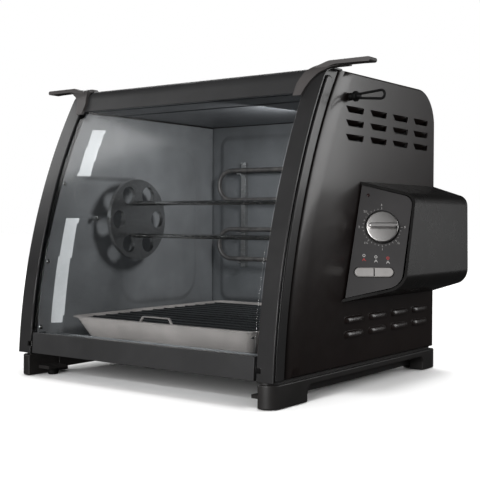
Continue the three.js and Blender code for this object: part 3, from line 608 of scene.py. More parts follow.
def soft_box(name, place, target, size, watts):
    """Rectangular lamp at a place, aimed at the target, in metres."""
    light = bpy.data.lights.new(name, "AREA")
    light.shape = "RECTANGLE"
    light.size, light.size_y = size
    light.energy = watts
    obj = placed(name, light)
    obj.location = place
    aim = (Vector(target) - Vector(place)).to_track_quat("-Z", "Y")
    obj.rotation_euler = aim.to_euler()
    return obj


def floor_sun(name, floor_set, strength, spread, casts):
    """Light from above that falls on the floor alone, so the paper stays white round a dark object."""
    sun = bpy.data.lights.new(name, "SUN")
    sun.energy = strength
    sun.angle = math.radians(spread)
    sun.cycles.cast_shadow = casts
    sky = placed(name, sun)
    sky.rotation_euler = (math.radians(-8), math.radians(6), 0)
    sky.visible_glossy = False
    sky.light_linking.receiver_collection = floor_set


def make_floor():
    """Pale paper that only its own suns light, so it throws no light up at the oven."""
    half, thick = 9000.0, 30.0
    floor = prism(rounded_box(-half, half, -half, half, 400), -thick, 0, up_z)
    floor.name = "floor"
    s = Shader("floor_paint", 0.75)
    s.colour(s.ramp(s.noise(400, detail=3), (0.3, 0.90), (0.7, 0.93)))
    s.bump(s.noise(3, detail=3), 0.05, 0.1)
    floor.data.materials.append(s.material)
    floor.visible_glossy = False
    floor.visible_diffuse = False
    floor_set = bpy.data.collections.new("lit_floor")
    floor_set.objects.link(floor)
    floor_sun("sky_panel", floor_set, 2.2, 150, True)
    floor_sun("floor_fill", floor_set, 1.3, 20, False)


def make_lights():
    soft_box("left_box", (-2.6, -0.9, 1.7), (-0.1, -0.1, 0.3), (1.5, 1.2), 15)
    soft_box("front_box", (0.45, -2.75, 0.75), (0.0, 0, 0.15), (1.6, 1.0), 62)
    soft_box("wall_box", (1.50, 1.10, 0.66), (0.2, -0.05, 0.24), (1.2, 0.75), 9)
    sheen = soft_box("pod_box", (1.0, 1.6, 0.16), (0.25, 0.05, 0.17), (0.7, 0.35), 0.36)
    sheen.light_linking.receiver_collection = bpy.data.collections.new("lit_pod")
    soft_box("rear_box", (-1.7, 1.9, 1.2), (0, 0, 0.2), (1.0, 1.0), 16)
    cavity = soft_box("cavity_box", (0.09, 0.00, 0.315), (-0.14, 0.03, 0.08), (0.08, 0.08), 1.5)
    tray_light = soft_box("tray_box", (0, -0.170, 0.060), (0, -0.14, 0.062), (0.28, 0.012), 0.075)
    for hidden in (cavity, tray_light):
        hidden.visible_camera = False
        hidden.visible_glossy = False


def make_world(fill, surround):
    """Surroundings that differ by the kind of ray: a white backdrop, soft fill and dim reflections."""
    world = bpy.data.worlds.new("studio")
    bpy.context.scene.world = world
    world.use_nodes = True
    tree = world.node_tree
    path = tree.nodes.new("ShaderNodeLightPath")

    def choose(ray, otherwise, colour):
        mix = tree.nodes.new("ShaderNodeMix")
        mix.data_type = "RGBA"
        tree.links.new(path.outputs[ray], mix.inputs["Factor"])
        mix.inputs["B"].default_value = (*colour, 1)
        if isinstance(otherwise, tuple):
            mix.inputs["A"].default_value = (*otherwise, 1)
        else:
            tree.links.new(otherwise, mix.inputs["A"])
        return mix.outputs["Result"]

    glossy = choose("Is Glossy Ray", fill, surround)
    backdrop = choose("Is Camera Ray", glossy, (1, 1, 1))
    tree.links.new(backdrop, tree.nodes["Background"].inputs["Color"])


CAMERA_PLACE = (0.7575, -1.0019, 0.1983)
bpy.context.scene.camera = look_from("camera", CAMERA_PLACE, azimuth=36.69, elevation=1.21, roll=0.25,
                                     lens_mm=71.97)
bpy.context.scene.view_settings.view_transform = "Standard"
make_world(fill=(0.16, 0.155, 0.15), surround=(0.02, 0.02, 0.02))
make_floor()
make_lights()


# ---------------- front frames
BEAD_OUT, BEAD_IN, BEAD_END = 6.0, 22.0, 352.0
WEB_IN, WEB_OUT = 187.5, 190.0
FLANGE_SHEET = 2.5


def bead_outline():
    """The long raised bead beside the flange, with a round upper end."""
    middle = (BEAD_OUT + BEAD_IN) / 2
    radius = (BEAD_IN - BEAD_OUT) / 2
    outer = front_arc(BODY_BOTTOM, BEAD_END, BEAD_OUT)
    inner = front_arc(BODY_BOTTOM, BEAD_END, BEAD_IN)
    centre_y, centre_z = front_y(BEAD_END, middle), BEAD_END
    start = math.atan2(outer[-1][1] - centre_z, outer[-1][0] - centre_y)
    cap = arc(centre_y, centre_z, radius, start, -math.pi, 14)
    return outer + cap[1:-1] + inner[::-1]


def frame_web_outline(outer):
    top = BODY_TOP - outer
    front = front_path(BODY_BOTTOM, front_y(top, BEZEL_DEPTH), outer)[:-1]
    return front + front_arc(BODY_BOTTOM, top, BEZEL_DEPTH)[::-1]


def make_front_frames():
    band = corner_band(BODY_BOTTOM, SEAM_Y, 0, FLANGE_SHEET)
    flange = bevelled(prism(band, BEZEL_INNER, BEZEL_OUTER, across_x), 0.7)
    web = prism(frame_web_outline(1.5), WEB_IN, WEB_OUT, across_x)
    bead = bevelled(prism(bead_outline(), 184, BEZEL_OUTER, across_x), 4.6, 7, angle=50)
    pin_notch = block(170, 181, -200, -170, 38, 44)
    pair_for(cut(join(flange, web, bead), pin_notch), "bezel", FRAME, smooth=30)


make_front_frames()


# ---------------- side walls
WALL_FACE_INSET = 25.0  # behind the front frame, where the wall has rolled out to its full width
WALL_ROLL = 4.0
EDGE_RADIUS = 3.0
LOUVRE_PITCH, LOUVRE_FIRST_Y, LOUVRES_IN_ROW = 57.0, -43.0, 4
LOUVRE_WIDTH, LOUVRE_HEIGHT, LOUVRE_REACH = 42.5, 7.5, 4.2
HOOD_SHEET = 1.1
UPPER_LOUVRES = (330.5, 314.5, 298.0)
LOWER_LOUVRES = (87.0, 70.0)


def wall_ring(front_inset, front_x, edge_inset, edge_x):
    """Outline of the side wall: the front edge and the other edges have their own inset and depth."""
    low, top, back = BODY_BOTTOM + edge_inset, BODY_TOP - edge_inset, HALF_DEPTH - edge_inset
    front = front_arc(low, top, BEZEL_DEPTH + 0.3 + front_inset)
    corner = rounded([(back, top, REAR_FILLET - edge_inset), (back, low, 0), (0, top, 0)], 16)[:-1]
    ring = [across_x(y, z, front_x) for y, z in front]
    return ring + [across_x(y, z, edge_x) for y, z in corner]


def wall_rings(inset, shift):
    """Rings from the inner rim out to the flat face, for the outside or the inside of the pressing."""
    rings = [wall_ring(inset, WEB_IN, inset, BEZEL_INNER)]
    steps = 8
    for i in range(steps + 1):
        turn = math.pi / 2 * i / steps
        roll = 1 - math.cos(turn)
        front_x = WALL_OUTER - WALL_ROLL * (1 - math.sin(turn)) - shift
        edge_x = WALL_OUTER - EDGE_RADIUS * (1 - math.sin(turn)) - shift
        rings.append(wall_ring(inset + WALL_FACE_INSET * roll, front_x, inset + EDGE_RADIUS * roll, edge_x))
    return rings


def louvre(y0, top, grow):
    """Pressed hood with rounded ends, open below. Its inside is the same shape, grown by less than 0."""
    low = top - LOUVRE_HEIGHT + grow * 0.6
    sink = -4.0 if grow else -1.0
    rings = []
    steps = 12
    for i in range(steps + 1):
        t = -1 + 2 * i / steps
        y = y0 + LOUVRE_WIDTH / 2 + t * (LOUVRE_WIDTH / 2 + grow)
        bulge = (1 - abs(t) ** 5) ** 0.5 if abs(t) < 1 else 0.0
        reach = max((LOUVRE_REACH + grow) * bulge, 0.05)
        high = top + grow * 0.7 - 2.2 * (1 - bulge)
        lip = low + 1.2
        ring = [(sink, low), (reach * 0.97, low), (reach, lip)]
        ring += [(reach * math.cos(a), lip + (high - lip) * math.sin(a)) for a in (0.35, 0.7, 1.05, 1.4)]
        ring.append((sink, high))
        rings.append([Vector((WALL_OUTER + x, y, z)) for x, z in ring])
    return loft(rings)


def louvre_slot(y0, top):
    """Opening of an upper louvre: it narrows downwards and its lower corners are round."""
    low, end = top - LOUVRE_HEIGHT, y0 + LOUVRE_WIDTH
    outline = [(y0, top, 0.8), (y0 + 6.5, low, 2.2), (end - 2.5, low, 2.8), (end, top, 1.2)]
    return prism(rounded(outline, 6), WALL_OUTER - 4, WALL_OUTER + 2, across_x)


def louvre_flap(y0, top):
    """The tongue bent inwards from the slot's upper edge."""
    low = top - LOUVRE_HEIGHT
    section = [(SHEET, top + 0.5), (0.5, top + 0.5), (1.6, top - 0.8), (6.2, low + 2.6), (7, low + 3.4),
               (2.6, top - 0.4)]
    section = [(WALL_OUTER - inwards, z) for inwards, z in section]
    return prism(section, y0 + 1, y0 + LOUVRE_WIDTH - 1, along_y)


def wall_shell(with_pod):
    outer, inner = wall_rings(0, 0), wall_rings(SHEET, SHEET)
    wall = cut(loft(outer), loft(inner))
    columns = [LOUVRE_FIRST_Y + LOUVRE_PITCH * column for column in range(LOUVRES_IN_ROW)]
    hoods = [(y, top) for top in LOWER_LOUVRES for y in columns]
    flaps = [(y, top) for top in UPPER_LOUVRES for y in columns]
    join(wall, gather([louvre(y, top, 0) for y, top in hoods]))
    cut(wall, gather([louvre(y, top, -HOOD_SHEET) for y, top in hoods]))
    cut(wall, gather([louvre_slot(y, top) for y, top in flaps]))
    join(wall, gather([louvre_flap(y, top) for y, top in flaps]))
    if with_pod:
        wiring_window = block(185, 200, 16, 100, 116, 186)
        timer_window = block(185, 200, -5, 60, 160, 212)
        cut(wall, wiring_window, timer_window)
    return wall


stand_for(wall_shell(True), "right_side_wall", BODY, smooth=34)
stand_for(moved_to_left(wall_shell(False)), "left_side_wall", BODY, smooth=34)


# ---------------- roof, back, base and screws
def make_roof():
    y0, half, low, hem = ROOF_LOW.y, ROOF_HIGH.x, ROOF_LOW.z, BODY_TOP - 9
    back, under = HALF_DEPTH - SHEET, BODY_TOP - SHEET
    outer = rounded([(y0, BODY_TOP, 0), (HALF_DEPTH, BODY_TOP, REAR_FILLET), (HALF_DEPTH, low, 0)], 16)
    inner = rounded([(back, low, 0), (back, under, REAR_FILLET - SHEET), (y0 + SHEET, under, 0),
                     (y0 + SHEET, hem, 0), (y0, hem, 0)], 16)
    stand_for(prism(outer + inner, -half, half, across_x), "roof_panel", BODY, bevel=0.35)


def screw_head(name, x, z, low, high, radius=3.4):
    """Cross-recessed pan head on the rear cover, from depth low to high."""
    profile = [(radius, low)]
    for i in range(1, 6):
        turn = math.pi / 2 * i / 6
        profile.append((radius * math.cos(turn) ** 0.6, low + (high - low) * math.sin(turn)))
    profile.append((0, high))
    head = lathe(profile, along_y, (x, z), 28)
    arm, half, under = radius * 0.55, 0.4, low + (high - low) * 0.35
    slots = [prism([(x - u, z - w), (x + u, z - w), (x + u, z + w), (x - u, z + w)], under, high + 1, along_y)
             for u, w in ((arm, half), (half, arm))]
    dress(cut(head, *slots), "rear_cover", PLASTIC, name=name)


COVER_TOP = 321.7
VENT_LONG, VENT_WIDE, VENT_PITCH = 60.0, 5.0, 12.0
VENT_ROWS = [72.5 + VENT_PITCH * i for i in range(3)] + [252.5 + VENT_PITCH * i for i in range(4)]
VENT_COLUMNS = (-90, -10, 70)


def make_back():
    half = ROOF_HIGH.x
    plate = block(-half, half, HALF_DEPTH - SHEET, HALF_DEPTH, BODY_BOTTOM + 0.3, COVER_TOP)
    slots = [prism(capsule(x, z, VENT_LONG, VENT_WIDE, 6), HALF_DEPTH - 4, HALF_DEPTH + 4, along_y)
             for z in VENT_ROWS for x in VENT_COLUMNS]
    cut(plate, gather(slots))
    stand_for(plate, "rear_cover", BODY, bevel=0.35, segments=2)
    places = [(x, z) for x in (-165, 0, 165) for z in (40, 312)]
    for i, (x, z) in enumerate(places):
        screw_head(f"rear_screw_{i}", x, z, HALF_DEPTH - 1.5, HALF_DEPTH - 0.02)


make_roof()
make_back()


# ---------------- foot rails and feet
FOOT_SEAM = 26.3  # where the rail's wide lower part ends and its neck starts
TOE_SPANS = ((-176, -146), (160, 186))


def make_feet():
    outer, low = FOOT_HIGH.x, FOOT_LOW.z
    inner, neck_outer, neck_end = outer - 20, outer - 6, HALF_DEPTH - 4
    plan = rounded([(inner, -HALF_DEPTH, 0), (outer, -HALF_DEPTH, 15), (outer, HALF_DEPTH, 6),
                    (inner, HALF_DEPTH, 0)], 12)
    neck = rounded([(inner + 1, -neck_end, 0), (neck_outer, -neck_end, 11), (neck_outer, neck_end, 4),
                    (inner + 1, neck_end, 0)], 8)
    arch_front, arch_back, arch_top = -125, 157, 19
    arch = rounded([(arch_front, -5, 0), (arch_back, -5, 0), (arch_back, arch_top, 9),
                    (arch_front, arch_top, 9)], 8)
    rail = cut(prism(plan, low, FOOT_SEAM, up_z), prism(arch, inner - 5, outer + 5, across_x))
    bevelled(rail, 1.4, 3)
    join(rail, prism(neck, FOOT_SEAM - 2, FOOT_HIGH.z, up_z))
    toes = [block(158, inner + 2, y0, y1, 8, 12) for y0, y1 in TOE_SPANS]
    join(rail, *toes)
    pair_for(rail, "foot_rail", PLASTIC)
    for end in ("front", "rear"):
        for side in ("right", "left"):
            node = f"{side}_rubber_foot_{end}"
            a, b = corners(node)
            centre = ((a.x + b.x) / 2, (a.y + b.y) / 2)
            profile = [(5.4, 0), (6.1, 0.35), (6.4, 1.2), (7, 5), (7, 7.2), (6.6, 7.6)]
            stand_for(lathe(profile, up_z, centre, 40), node, RUBBER)


make_feet()


# ---------------- cavity liners
LINER_X = LINER_LOW.x + 1.4
WING_X = 173.0
RISER_START, RISER_END = 25.0, 43.0  # how far behind the front curve the liner steps inwards
EMBOSS_DEPTH = 3.0
LINER_BOTTOM, LINER_SHEET = 47.0, 1.0
CHANNEL_LOW, CHANNEL_HIGH, CHANNEL_BACK = 203.0, 252.0, -12.0
# Heights between which the sloped step carries the painted highlight.
HIGHLIGHT_FROM, HIGHLIGHT_TO = 65.0, 318.0


def behind_front(y, z):
    """Distance behind the front curve, measured square to it."""
    return (y - front_y(z)) * (FRONT_Y - y) / FRONT_R


def ease(value, low, high):
    t = max(0.0, min(1.0, (value - low) / (high - low)))
    return t * t * (3 - 2 * t)


def inside_rounded(a, b, a0, a1, b0, b1, radius):
    """Distance from a rounded rectangle's edge, positive inside."""
    da = max(a0 + radius - a, a - a1 + radius, 0)
    db = max(b0 + radius - b, b - b1 + radius, 0)
    if da > 0 and db > 0:
        return radius - math.hypot(da, db)
    return min(a - a0, a1 - a, b - b0, b1 - b)


def liner_x(y, z, behind):
    """The pressed side liner's surface: front wing, sloped riser, spit channel and raised panel."""
    step = ease(behind, RISER_START, RISER_END)
    channel = min(ease(z, CHANNEL_LOW - 4, CHANNEL_LOW + 2),
                  ease(-z, -CHANNEL_HIGH - 4, -CHANNEL_HIGH + 2),
                  1 - ease(y, CHANNEL_BACK - 6, CHANNEL_BACK + 2))
    panel = ease(inside_rounded(y, z, -44, 124, 78, 306, 38), 0, 8)
    x = WING_X + (LINER_X - WING_X) * step * (1 - 0.62 * channel)
    return x - EMBOSS_DEPTH * panel * (1 - channel) * 0.5


def paint_riser_highlight(node):
    """The sloped step of bare metal carries a painted highlight above and below the spit channel: its faces
    get a near-white, barely metallic material in place of the bright reflections along the step.
    """
    mesh = bpy.data.objects[node + "_finished"].data
    mesh.materials.append(PAINTED_RISER_HIGHLIGHT)
    for face in mesh.polygons:
        y, z = face.center.y / MM, face.center.z / MM
        on_step = RISER_START + 2.5 < behind_front(y, z) < RISER_END - 2.5
        if on_step and (HIGHLIGHT_FROM < z < CHANNEL_LOW - 3 or CHANNEL_HIGH + 4 < z < HIGHLIGHT_TO):
            face.material_index = 1


def pressed_sheet(columns, rows, middle_at):
    """Sheet steel on a grid: middle_at gives its middle plane at a share across and a share up."""
    points = [middle_at(i / columns, k / rows) for k in range(rows + 1) for i in range(columns + 1)]
    n = columns + 1
    faces = [[k * n + i, k * n + i + 1, (k + 1) * n + i + 1, (k + 1) * n + i]
             for k in range(rows) for i in range(columns)]
    sheet = make_object("sheet", points, faces)
    thickness = sheet.modifiers.new("sheet", "SOLIDIFY")
    thickness.thickness = LINER_SHEET * MM
    thickness.offset = 0
    return evaluated(sheet)


def side_liner_at(across, up):
    z = LINER_BOTTOM + (338 - LINER_BOTTOM) * up
    start, back = front_y(z, 8.5), BACK_LOW.y - 0.4
    y = start + (back - start) * across ** 1.15
    return Vector((liner_x(y, z, behind_front(y, z)), y, z))


def back_liner_at(across, up):
    half = LINER_X + 0.6
    x, z = -half + 2 * half * across, LINER_BOTTOM + (339 - LINER_BOTTOM) * up
    rise = ease(inside_rounded(x, z, -150, 150, 74, 325, 16), 0, 7)
    return Vector((x, BACK_HIGH.y - 1.2 - 2.6 * rise, z))


def make_liners():
    pair_for(pressed_sheet(150, 130, side_liner_at), "liner", LINER, smooth=60)
    paint_riser_highlight("right_liner")
    paint_riser_highlight("left_liner")
    stand_for(pressed_sheet(110, 96, back_liner_at), "rear_liner", BACK_LINER, smooth=60)


def make_liner_rivets():
    """Round rivet heads down the front wings."""
    for sign, side in ((1, "right"), (-1, "left")):
        for i, z in enumerate((61.0, 144.0, 244.0)):
            dome = [(3.2, 0), (3.0, 0.9), (2.2, 1.7), (1.1, 2.2), (0, 2.3)]
            profile = [(radius, sign * (WING_X - 0.4 - rise)) for radius, rise in dome]
            head = lathe(profile, across_x, (front_y(z) + 13.0, z), 24)
            dress(head, f"{side}_liner", STEEL, name=f"{side}_wing_rivet_{i}")


make_liners()
make_liner_rivets()


# ---------------- tray and grate
TRAY_RIM = 75.2
TRAY_LEAN = 15.0  # how far each wall leans outwards, from floor to rim
TRAY_LIP = 3.5
TRAY_SHEET = 1.5


def tray_ring(z, grow, radius):
    """Rounded rectangle round the tray at one height; grow is counted from the leaning wall's outside."""
    low = TRAY_LOW.z
    out = (z - low) * TRAY_LEAN / (TRAY_RIM - low) - TRAY_LEAN - TRAY_LIP + grow
    plan = rounded_box(TRAY_LOW.x - out, TRAY_HIGH.x + out, TRAY_LOW.y - out, TRAY_HIGH.y + out, radius, 10)
    return [Vector((x, y, z)) for x, y in plan]


def make_tray():
    """Folded tray: leaning walls, a flat lip all round and a strip loop at the front to lift it by."""
    low, sheet = TRAY_LOW.z, TRAY_SHEET
    shell = loft([tray_ring(low, -1.2, 7), tray_ring(low + 1.2, 0, 8), tray_ring(TRAY_RIM, 0, 12)])
    inside = loft([tray_ring(low + sheet, -sheet - 1.2, 6), tray_ring(low + sheet + 1.2, -sheet, 7),
                   tray_ring(TRAY_RIM + 5, -sheet, 12)])
    lean_in_sheet = TRAY_LEAN * sheet / (TRAY_RIM - low)
    lip = loft([tray_ring(TRAY_RIM - sheet, TRAY_LIP + lean_in_sheet, 15), tray_ring(TRAY_RIM, TRAY_LIP, 15)])
    tray = cut(join(shell, lip), inside)
    foot, front, high = TRAY_RIM - 1, TRAY_LOW.y + 1, TRAY_RIM + 7.5
    outer = rounded([(-27, foot, 0), (27, foot, 0), (21, high, 3), (-21, high, 3)])
    inner = rounded([(-25, foot - 1, 0), (25, foot - 1, 0), (19.6, high - 1.5, 2), (-19.6, high - 1.5, 2)])
    loop = cut(prism(outer, front, front + 2.4, along_y), prism(inner, front - 1, front + 4, along_y))
    stand_for(join(tray, loop), "drip_tray", TRAY, bevel=0.3, segments=2)


make_tray()
refined("grate_cover", GRATE, bevel=0.7, segments=3)


# ---------------- heating element
def make_element():
    coil_low, coil_high = corners("heating_element")
    radius, y, terminal = 3.25, (coil_low.y + coil_high.y) / 2, coil_high.x
    bend, straight_half = 22.0, 118.0
    levels = [coil_low.z + radius + 2 * bend * i for i in range(4)]
    points = [(terminal, levels[0])]
    for level, side in zip(levels, (-1, 1, -1)):
        points += arc(side * straight_half, level + bend, bend, -math.pi / 2, side * math.pi, 24)
    points.append((terminal, levels[3]))
    rings = []
    for i, (x, z) in enumerate(points):
        before, after = points[max(i - 1, 0)], points[min(i + 1, len(points) - 1)]
        along = Vector((after[0] - before[0], 0, after[1] - before[1])).normalized()
        side = along.cross(Vector((0, 1, 0)))
        rings.append([Vector((x, y, z)) + side * a + Vector((0, b, 0)) for a, b in circle(0, 0, radius, 20)])
    stand_for(loft(rings), "heating_element", ROD, smooth=50)


make_element()


# ---------------- spit
WHEEL_IN, WHEEL_OUT, HUB_END, STUB_END = 140.0, 146.0, 152.0, 163.0
ROD_REACH = 22.0
WHEEL_TEETH, DRIVE_TEETH, MODULE = 48, 12, 2.5
DRIVE_DIRECTION = math.radians(-28.35)
DRIVE_REACH = MODULE * (WHEEL_TEETH + DRIVE_TEETH) / 2
DRIVE_Y = SPIT_Y + DRIVE_REACH * math.cos(DRIVE_DIRECTION)
DRIVE_Z = SPIT_Z + DRIVE_REACH * math.sin(DRIVE_DIRECTION)


def gear(teeth, fill, phase, centre):
    """Outline of a spur gear; fill is how much of the pitch a tooth takes, against a full one."""
    tip, root = MODULE * teeth / 2 + 2, MODULE * teeth / 2 - 3
    pitch = 2 * math.pi / teeth
    flank = [(root, -0.34), ((root + tip) / 2, -0.25), (tip - 0.5, -0.17), (tip, -0.12)]
    points = []
    for i in range(teeth):
        for reach, share in flank + [(reach, -share) for reach, share in flank[::-1]]:
            a = phase + pitch * (i + share * fill)
            points.append((centre[0] + reach * math.cos(a), centre[1] + reach * math.sin(a)))
    return points


def make_wheel(outline):
    centre = (SPIT_Y, SPIT_Z)
    face = bevelled(prism(outline, WHEEL_IN, WHEEL_OUT, across_x), 0.4, 2, angle=60)
    profile = [(10, WHEEL_IN + 1), (10, HUB_END - 0.8), (9.2, HUB_END), (4, HUB_END), (4, STUB_END - 0.6),
               (3.4, STUB_END)]
    hub = lathe(profile, across_x, centre)
    windows = [prism(circle(y, z, 12), WHEEL_IN - 2, WHEEL_OUT + 4, across_x)
               for y, z in arc(*centre, 38, 0, 2 * math.pi, 6)[:-1]]
    holes = [prism(circle(SPIT_Y, SPIT_Z + side * ROD_REACH, 3.3, 24), WHEEL_IN - 2, WHEEL_OUT + 2, across_x)
             for side in (-1, 1)]
    return cut(join(face, hub), gather(windows), gather(holes))


def make_spit():
    gear_phase = DRIVE_DIRECTION + math.pi / WHEEL_TEETH
    outline = gear(WHEEL_TEETH, 0.98, gear_phase, (SPIT_Y, SPIT_Z))
    stand_for(make_wheel(outline), "spit_gear_wheel", STEEL, bevel=0.3, segments=2, angle=50)
    plain = moved_to_left(make_wheel(circle(SPIT_Y, SPIT_Z, 54.9, 96)))
    stand_for(plain, "spit_end_wheel", STEEL, bevel=0.3, segments=2, angle=50)
    profile = [(2.6, WHEEL_IN + 4.9), (3, WHEEL_IN + 4.3), (3, -WHEEL_IN - 8), (2.7, -WHEEL_IN - 9.5),
               (0.5, -WHEEL_IN - 18)]
    for side, node in ((1, "upper_spit_rod"), (-1, "lower_spit_rod")):
        stand_for(lathe(profile, across_x, (SPIT_Y, SPIT_Z + side * ROD_REACH), 24), node, STEEL)
    outline = gear(DRIVE_TEETH, 0.9, DRIVE_DIRECTION + math.pi, (DRIVE_Y, DRIVE_Z))
    teeth = prism(outline, WHEEL_IN - 1, WHEEL_OUT + 2, across_x)
    shaft = lathe([(4, WHEEL_IN + 3), (4, 198.4), (3.5, 199)], across_x, (DRIVE_Y, DRIVE_Z), 32)
    stand_for(join(bevelled(teeth, 0.3, 2, angle=50), shaft), "drive_gear", STEEL)


make_spit()


# ---------------- door
HINGE_AXIS, HINGE_BORE = (-178, 41), 2.8
RIDGE_HEIGHT = 0.8


def make_glass():
    half = GLASS_HIGH.x
    sheet = prism(arc_band(GLASS_LOW.z, GLASS_HIGH.z, 1.2, 5.2, 60), -half, half, across_x)
    stand_for(sheet, "door_glass", WINDOW, bevel=0.6, segments=3, angle=60, smooth=50)


def make_bottom_rail():
    half, low, high = RAIL_HIGH.x, RAIL_LOW.z, RAIL_HIGH.z
    face = bevelled(prism(arc_band(low, high, 0.1, 2.3, 10), -half, half, across_x), 0.5)
    lower = prism(arc_band(low, low + 2, 1, 15, 2), -half, half, across_x)
    upper = prism(arc_band(high - 2, high, 1, 8, 2), -half + 0.5, half - 0.5, across_x)
    cheeks = [prism(arc_band(low, high, 1, 18.5, 8), x, x + 3, across_x) for x in (-half, half - 3)]
    rail = join(face, lower, upper, *cheeks)
    cut(rail, prism(circle(*HINGE_AXIS, HINGE_BORE, 32), -half - 5, half + 5, across_x))
    stand_for(rail, "door_bottom_rail", RAIL, bevel=0.25, segments=2)


def make_top_rail():
    half, low = TOP_RAIL_HIGH.x, TOP_RAIL_LOW.z
    roof_y = TOP_RAIL_HIGH.y
    skin = bevelled(prism(corner_band(low, roof_y, 0, 2.2, 8), -half, half, across_x), 0.6)
    lower = prism(arc_band(low, low + 2, 1, 9, 2), -half, half, across_x)
    rear = block(-half, half, roof_y - 2, roof_y, BODY_TOP - 8, BODY_TOP - 0.4)
    stand_for(join(skin, lower, rear), "door_top_rail", RAIL, bevel=0.25, segments=2)


def make_handles():
    """Corner grips: a leg that hugs the top corner and sweeps round into a flat wing outwards."""
    top, tip = HANDLE_HIGH.z - RIDGE_HEIGHT, HANDLE_HIGH.x
    roof_y = TOP_RAIL_HIGH.y
    wrap = prism(corner_band(336, roof_y, -4, -0.3, 16), 160, 215, across_x)
    leg_outline = [(166.5, 335, 1.2), (177, 335, 2), (179.5, 344, 8), (184, 353, 10), (191, 361, 12),
                   (203, 367, 14), (215, 369.5, 0), (215, 380, 0), (191, 380, 0), (172.5, 365, 18),
                   (166.5, 350, 12)]
    leg = combine(wrap, "INTERSECT", prism(rounded(leg_outline, 6), -140, -60, along_y))
    wing_outline = [(178, top - 9.5, 0), (186, top - 4.2, 12), (200, top, 22), (tip, top, 2.4),
                    (tip, top - 5.2, 2.4), (236, top - 4.6, 20), (208, top - 4.4, 20), (194, top - 7.5, 6),
                    (186, top - 10, 0)]
    wing = prism(rounded(wing_outline, 8), -92, -76, along_y)
    grip = bevelled(join(leg, wing), 0.6, 3, angle=45)
    ridge = [(0.5, -90), (1.1, -89.2), (1.1, -78.8), (0.5, -78)]
    ridges = [lathe(ridge, along_y, (x, top - 0.35), 20) for x in (205, 219, 233)]
    pair_for(join(grip, *ridges), "door_handle", GRIP, smooth=40)


make_glass()
make_bottom_rail()
make_top_rail()
make_handles()


# ---------------- control pod
POD_TAPER, POD_FRONT, POD_BACK = 0.13, 10.0, 191.5
POD_WALL, POD_EDGE = 2.5, 5.0
POD_LOW_AT_WALL, POD_LOW_AT_FACE, POD_HIGH_AT_FACE, POD_HIGH_AT_WALL = 103.9, 120.2, 228.4, 244.0
POD_FACE_LOW_X, POD_FACE_HIGH_X = 252.4, 250.6
CORD_X, CORD_Z, CORD_HOLE = 222.0, 134.0, 8.3


def pod_ring(inset, y):
    """Section of the pod at one depth: it narrows towards the back."""
    slope = inset * 1.04
    left = WALL_OUTER + 0.3
    outline = rounded([(left, POD_LOW_AT_WALL + slope, 0),
                       (POD_FACE_LOW_X - inset, POD_LOW_AT_FACE + slope, 20 - inset * 0.6),
                       (POD_FACE_HIGH_X - inset, POD_HIGH_AT_FACE - slope, 14 - inset * 0.6),
                       (left, POD_HIGH_AT_WALL - slope, 0)], 16)
    run = max((y - POD_FRONT) / (POD_BACK - POD_FRONT), 0)
    return [Vector((WALL_OUTER + (x - WALL_OUTER) * (1 - POD_TAPER * run), y, z)) for x, z in outline]


def make_pod():
    stations = [(0, y) for y in (-80, POD_FRONT, 70, 130, POD_BACK - POD_EDGE)]
    stations += [(POD_EDGE * (1 - math.cos(a)), POD_BACK - POD_EDGE + POD_EDGE * math.sin(a))
                 for a in (0.4, 0.8, 1.2, math.pi / 2)]
    outer = loft([pod_ring(inset, y) for inset, y in stations])
    inner = loft([pod_ring(POD_WALL, y) for y in (-85, POD_FRONT, 130, POD_BACK - 6)]
                 + [pod_ring(POD_WALL + 3, POD_BACK - POD_WALL)])
    open_side = (WALL_OUTER + 1) * MM
    for vertex in inner.data.vertices:
        if vertex.co.x < open_side:
            vertex.co.x -= 4 * MM
    beyond = prism([(-150, -150), (150, -150), (150, 150), (-150, 150)], 0, 200, on_panel)
    cord_hole = prism(circle(CORD_X, CORD_Z, CORD_HOLE, 36), 180, 200, along_y)
    shell = cut(outer, inner, beyond, cord_hole)
    stand_for(shell, "control_pod", POD, bevel=0.5, segments=3, angle=50, smooth=34)


def switch_box(half_u, half_v, radius, steps=8):
    """Rounded box about the middle of the rocker switch."""
    u, v = SWITCH_U, SWITCH_V
    return rounded_box(u - half_u, u + half_u, v - half_v, v + half_v, radius, steps)


PANEL_REAR, PANEL_FACE = -3.5, -1.0


def make_panel():
    outline = rounded([(-7.2, -67, 0), (57, -52, 20), (72.8, 53, 11), (13.6, 67.8, 0)], 14)
    plate = prism(outline, PANEL_REAR, PANEL_FACE, on_panel)
    holes = [prism(circle(KNOB_U, KNOB_V, KNOB_R + 1.5, 72), -6, 3, on_panel),
             prism(capsule(SWITCH_U, SWITCH_V, SWITCH_LONG + 2.4, SWITCH_WIDE + 1.2), -6, 3, on_panel),
             prism(circle(LAMP_U, LAMP_V, 1.9, 24), -6, 3, on_panel)]
    cut(plate, *holes)
    stand_for(plate, "control_panel", PANEL, bevel=0.35, segments=2)
    # Black ring behind the knob's hole: painted shadow, so the gap round the knob reads dark.
    shade_ring_low, shade_ring_high, shade_ring_reach, shade_ring_bore = -5.6, -4.2, KNOB_R + 3, 6.0
    shade_ring_profile = [(shade_ring_reach, shade_ring_low), (shade_ring_reach, shade_ring_high), (shade_ring_bore, shade_ring_high),
                    (shade_ring_bore, shade_ring_low)]
    dress(lathe(shade_ring_profile, on_panel, (KNOB_U, KNOB_V), 64), "control_panel", PLASTIC, name="dial_painted_shadow")
    # Black plate behind the switch's hole: painted shadow, so the gap round the rocker reads dark.
    switch_shade_plate = prism(capsule(SWITCH_U, SWITCH_V, SWITCH_LONG + 5, SWITCH_WIDE + 4), -6.9, -6.3, on_panel)
    cut(switch_shade_plate, prism(switch_box(6, 4.4, 1), -9, 0, on_panel))
    dress(switch_shade_plate, "control_panel", PLASTIC, name="switch_painted_shadow", bevel=0.2)


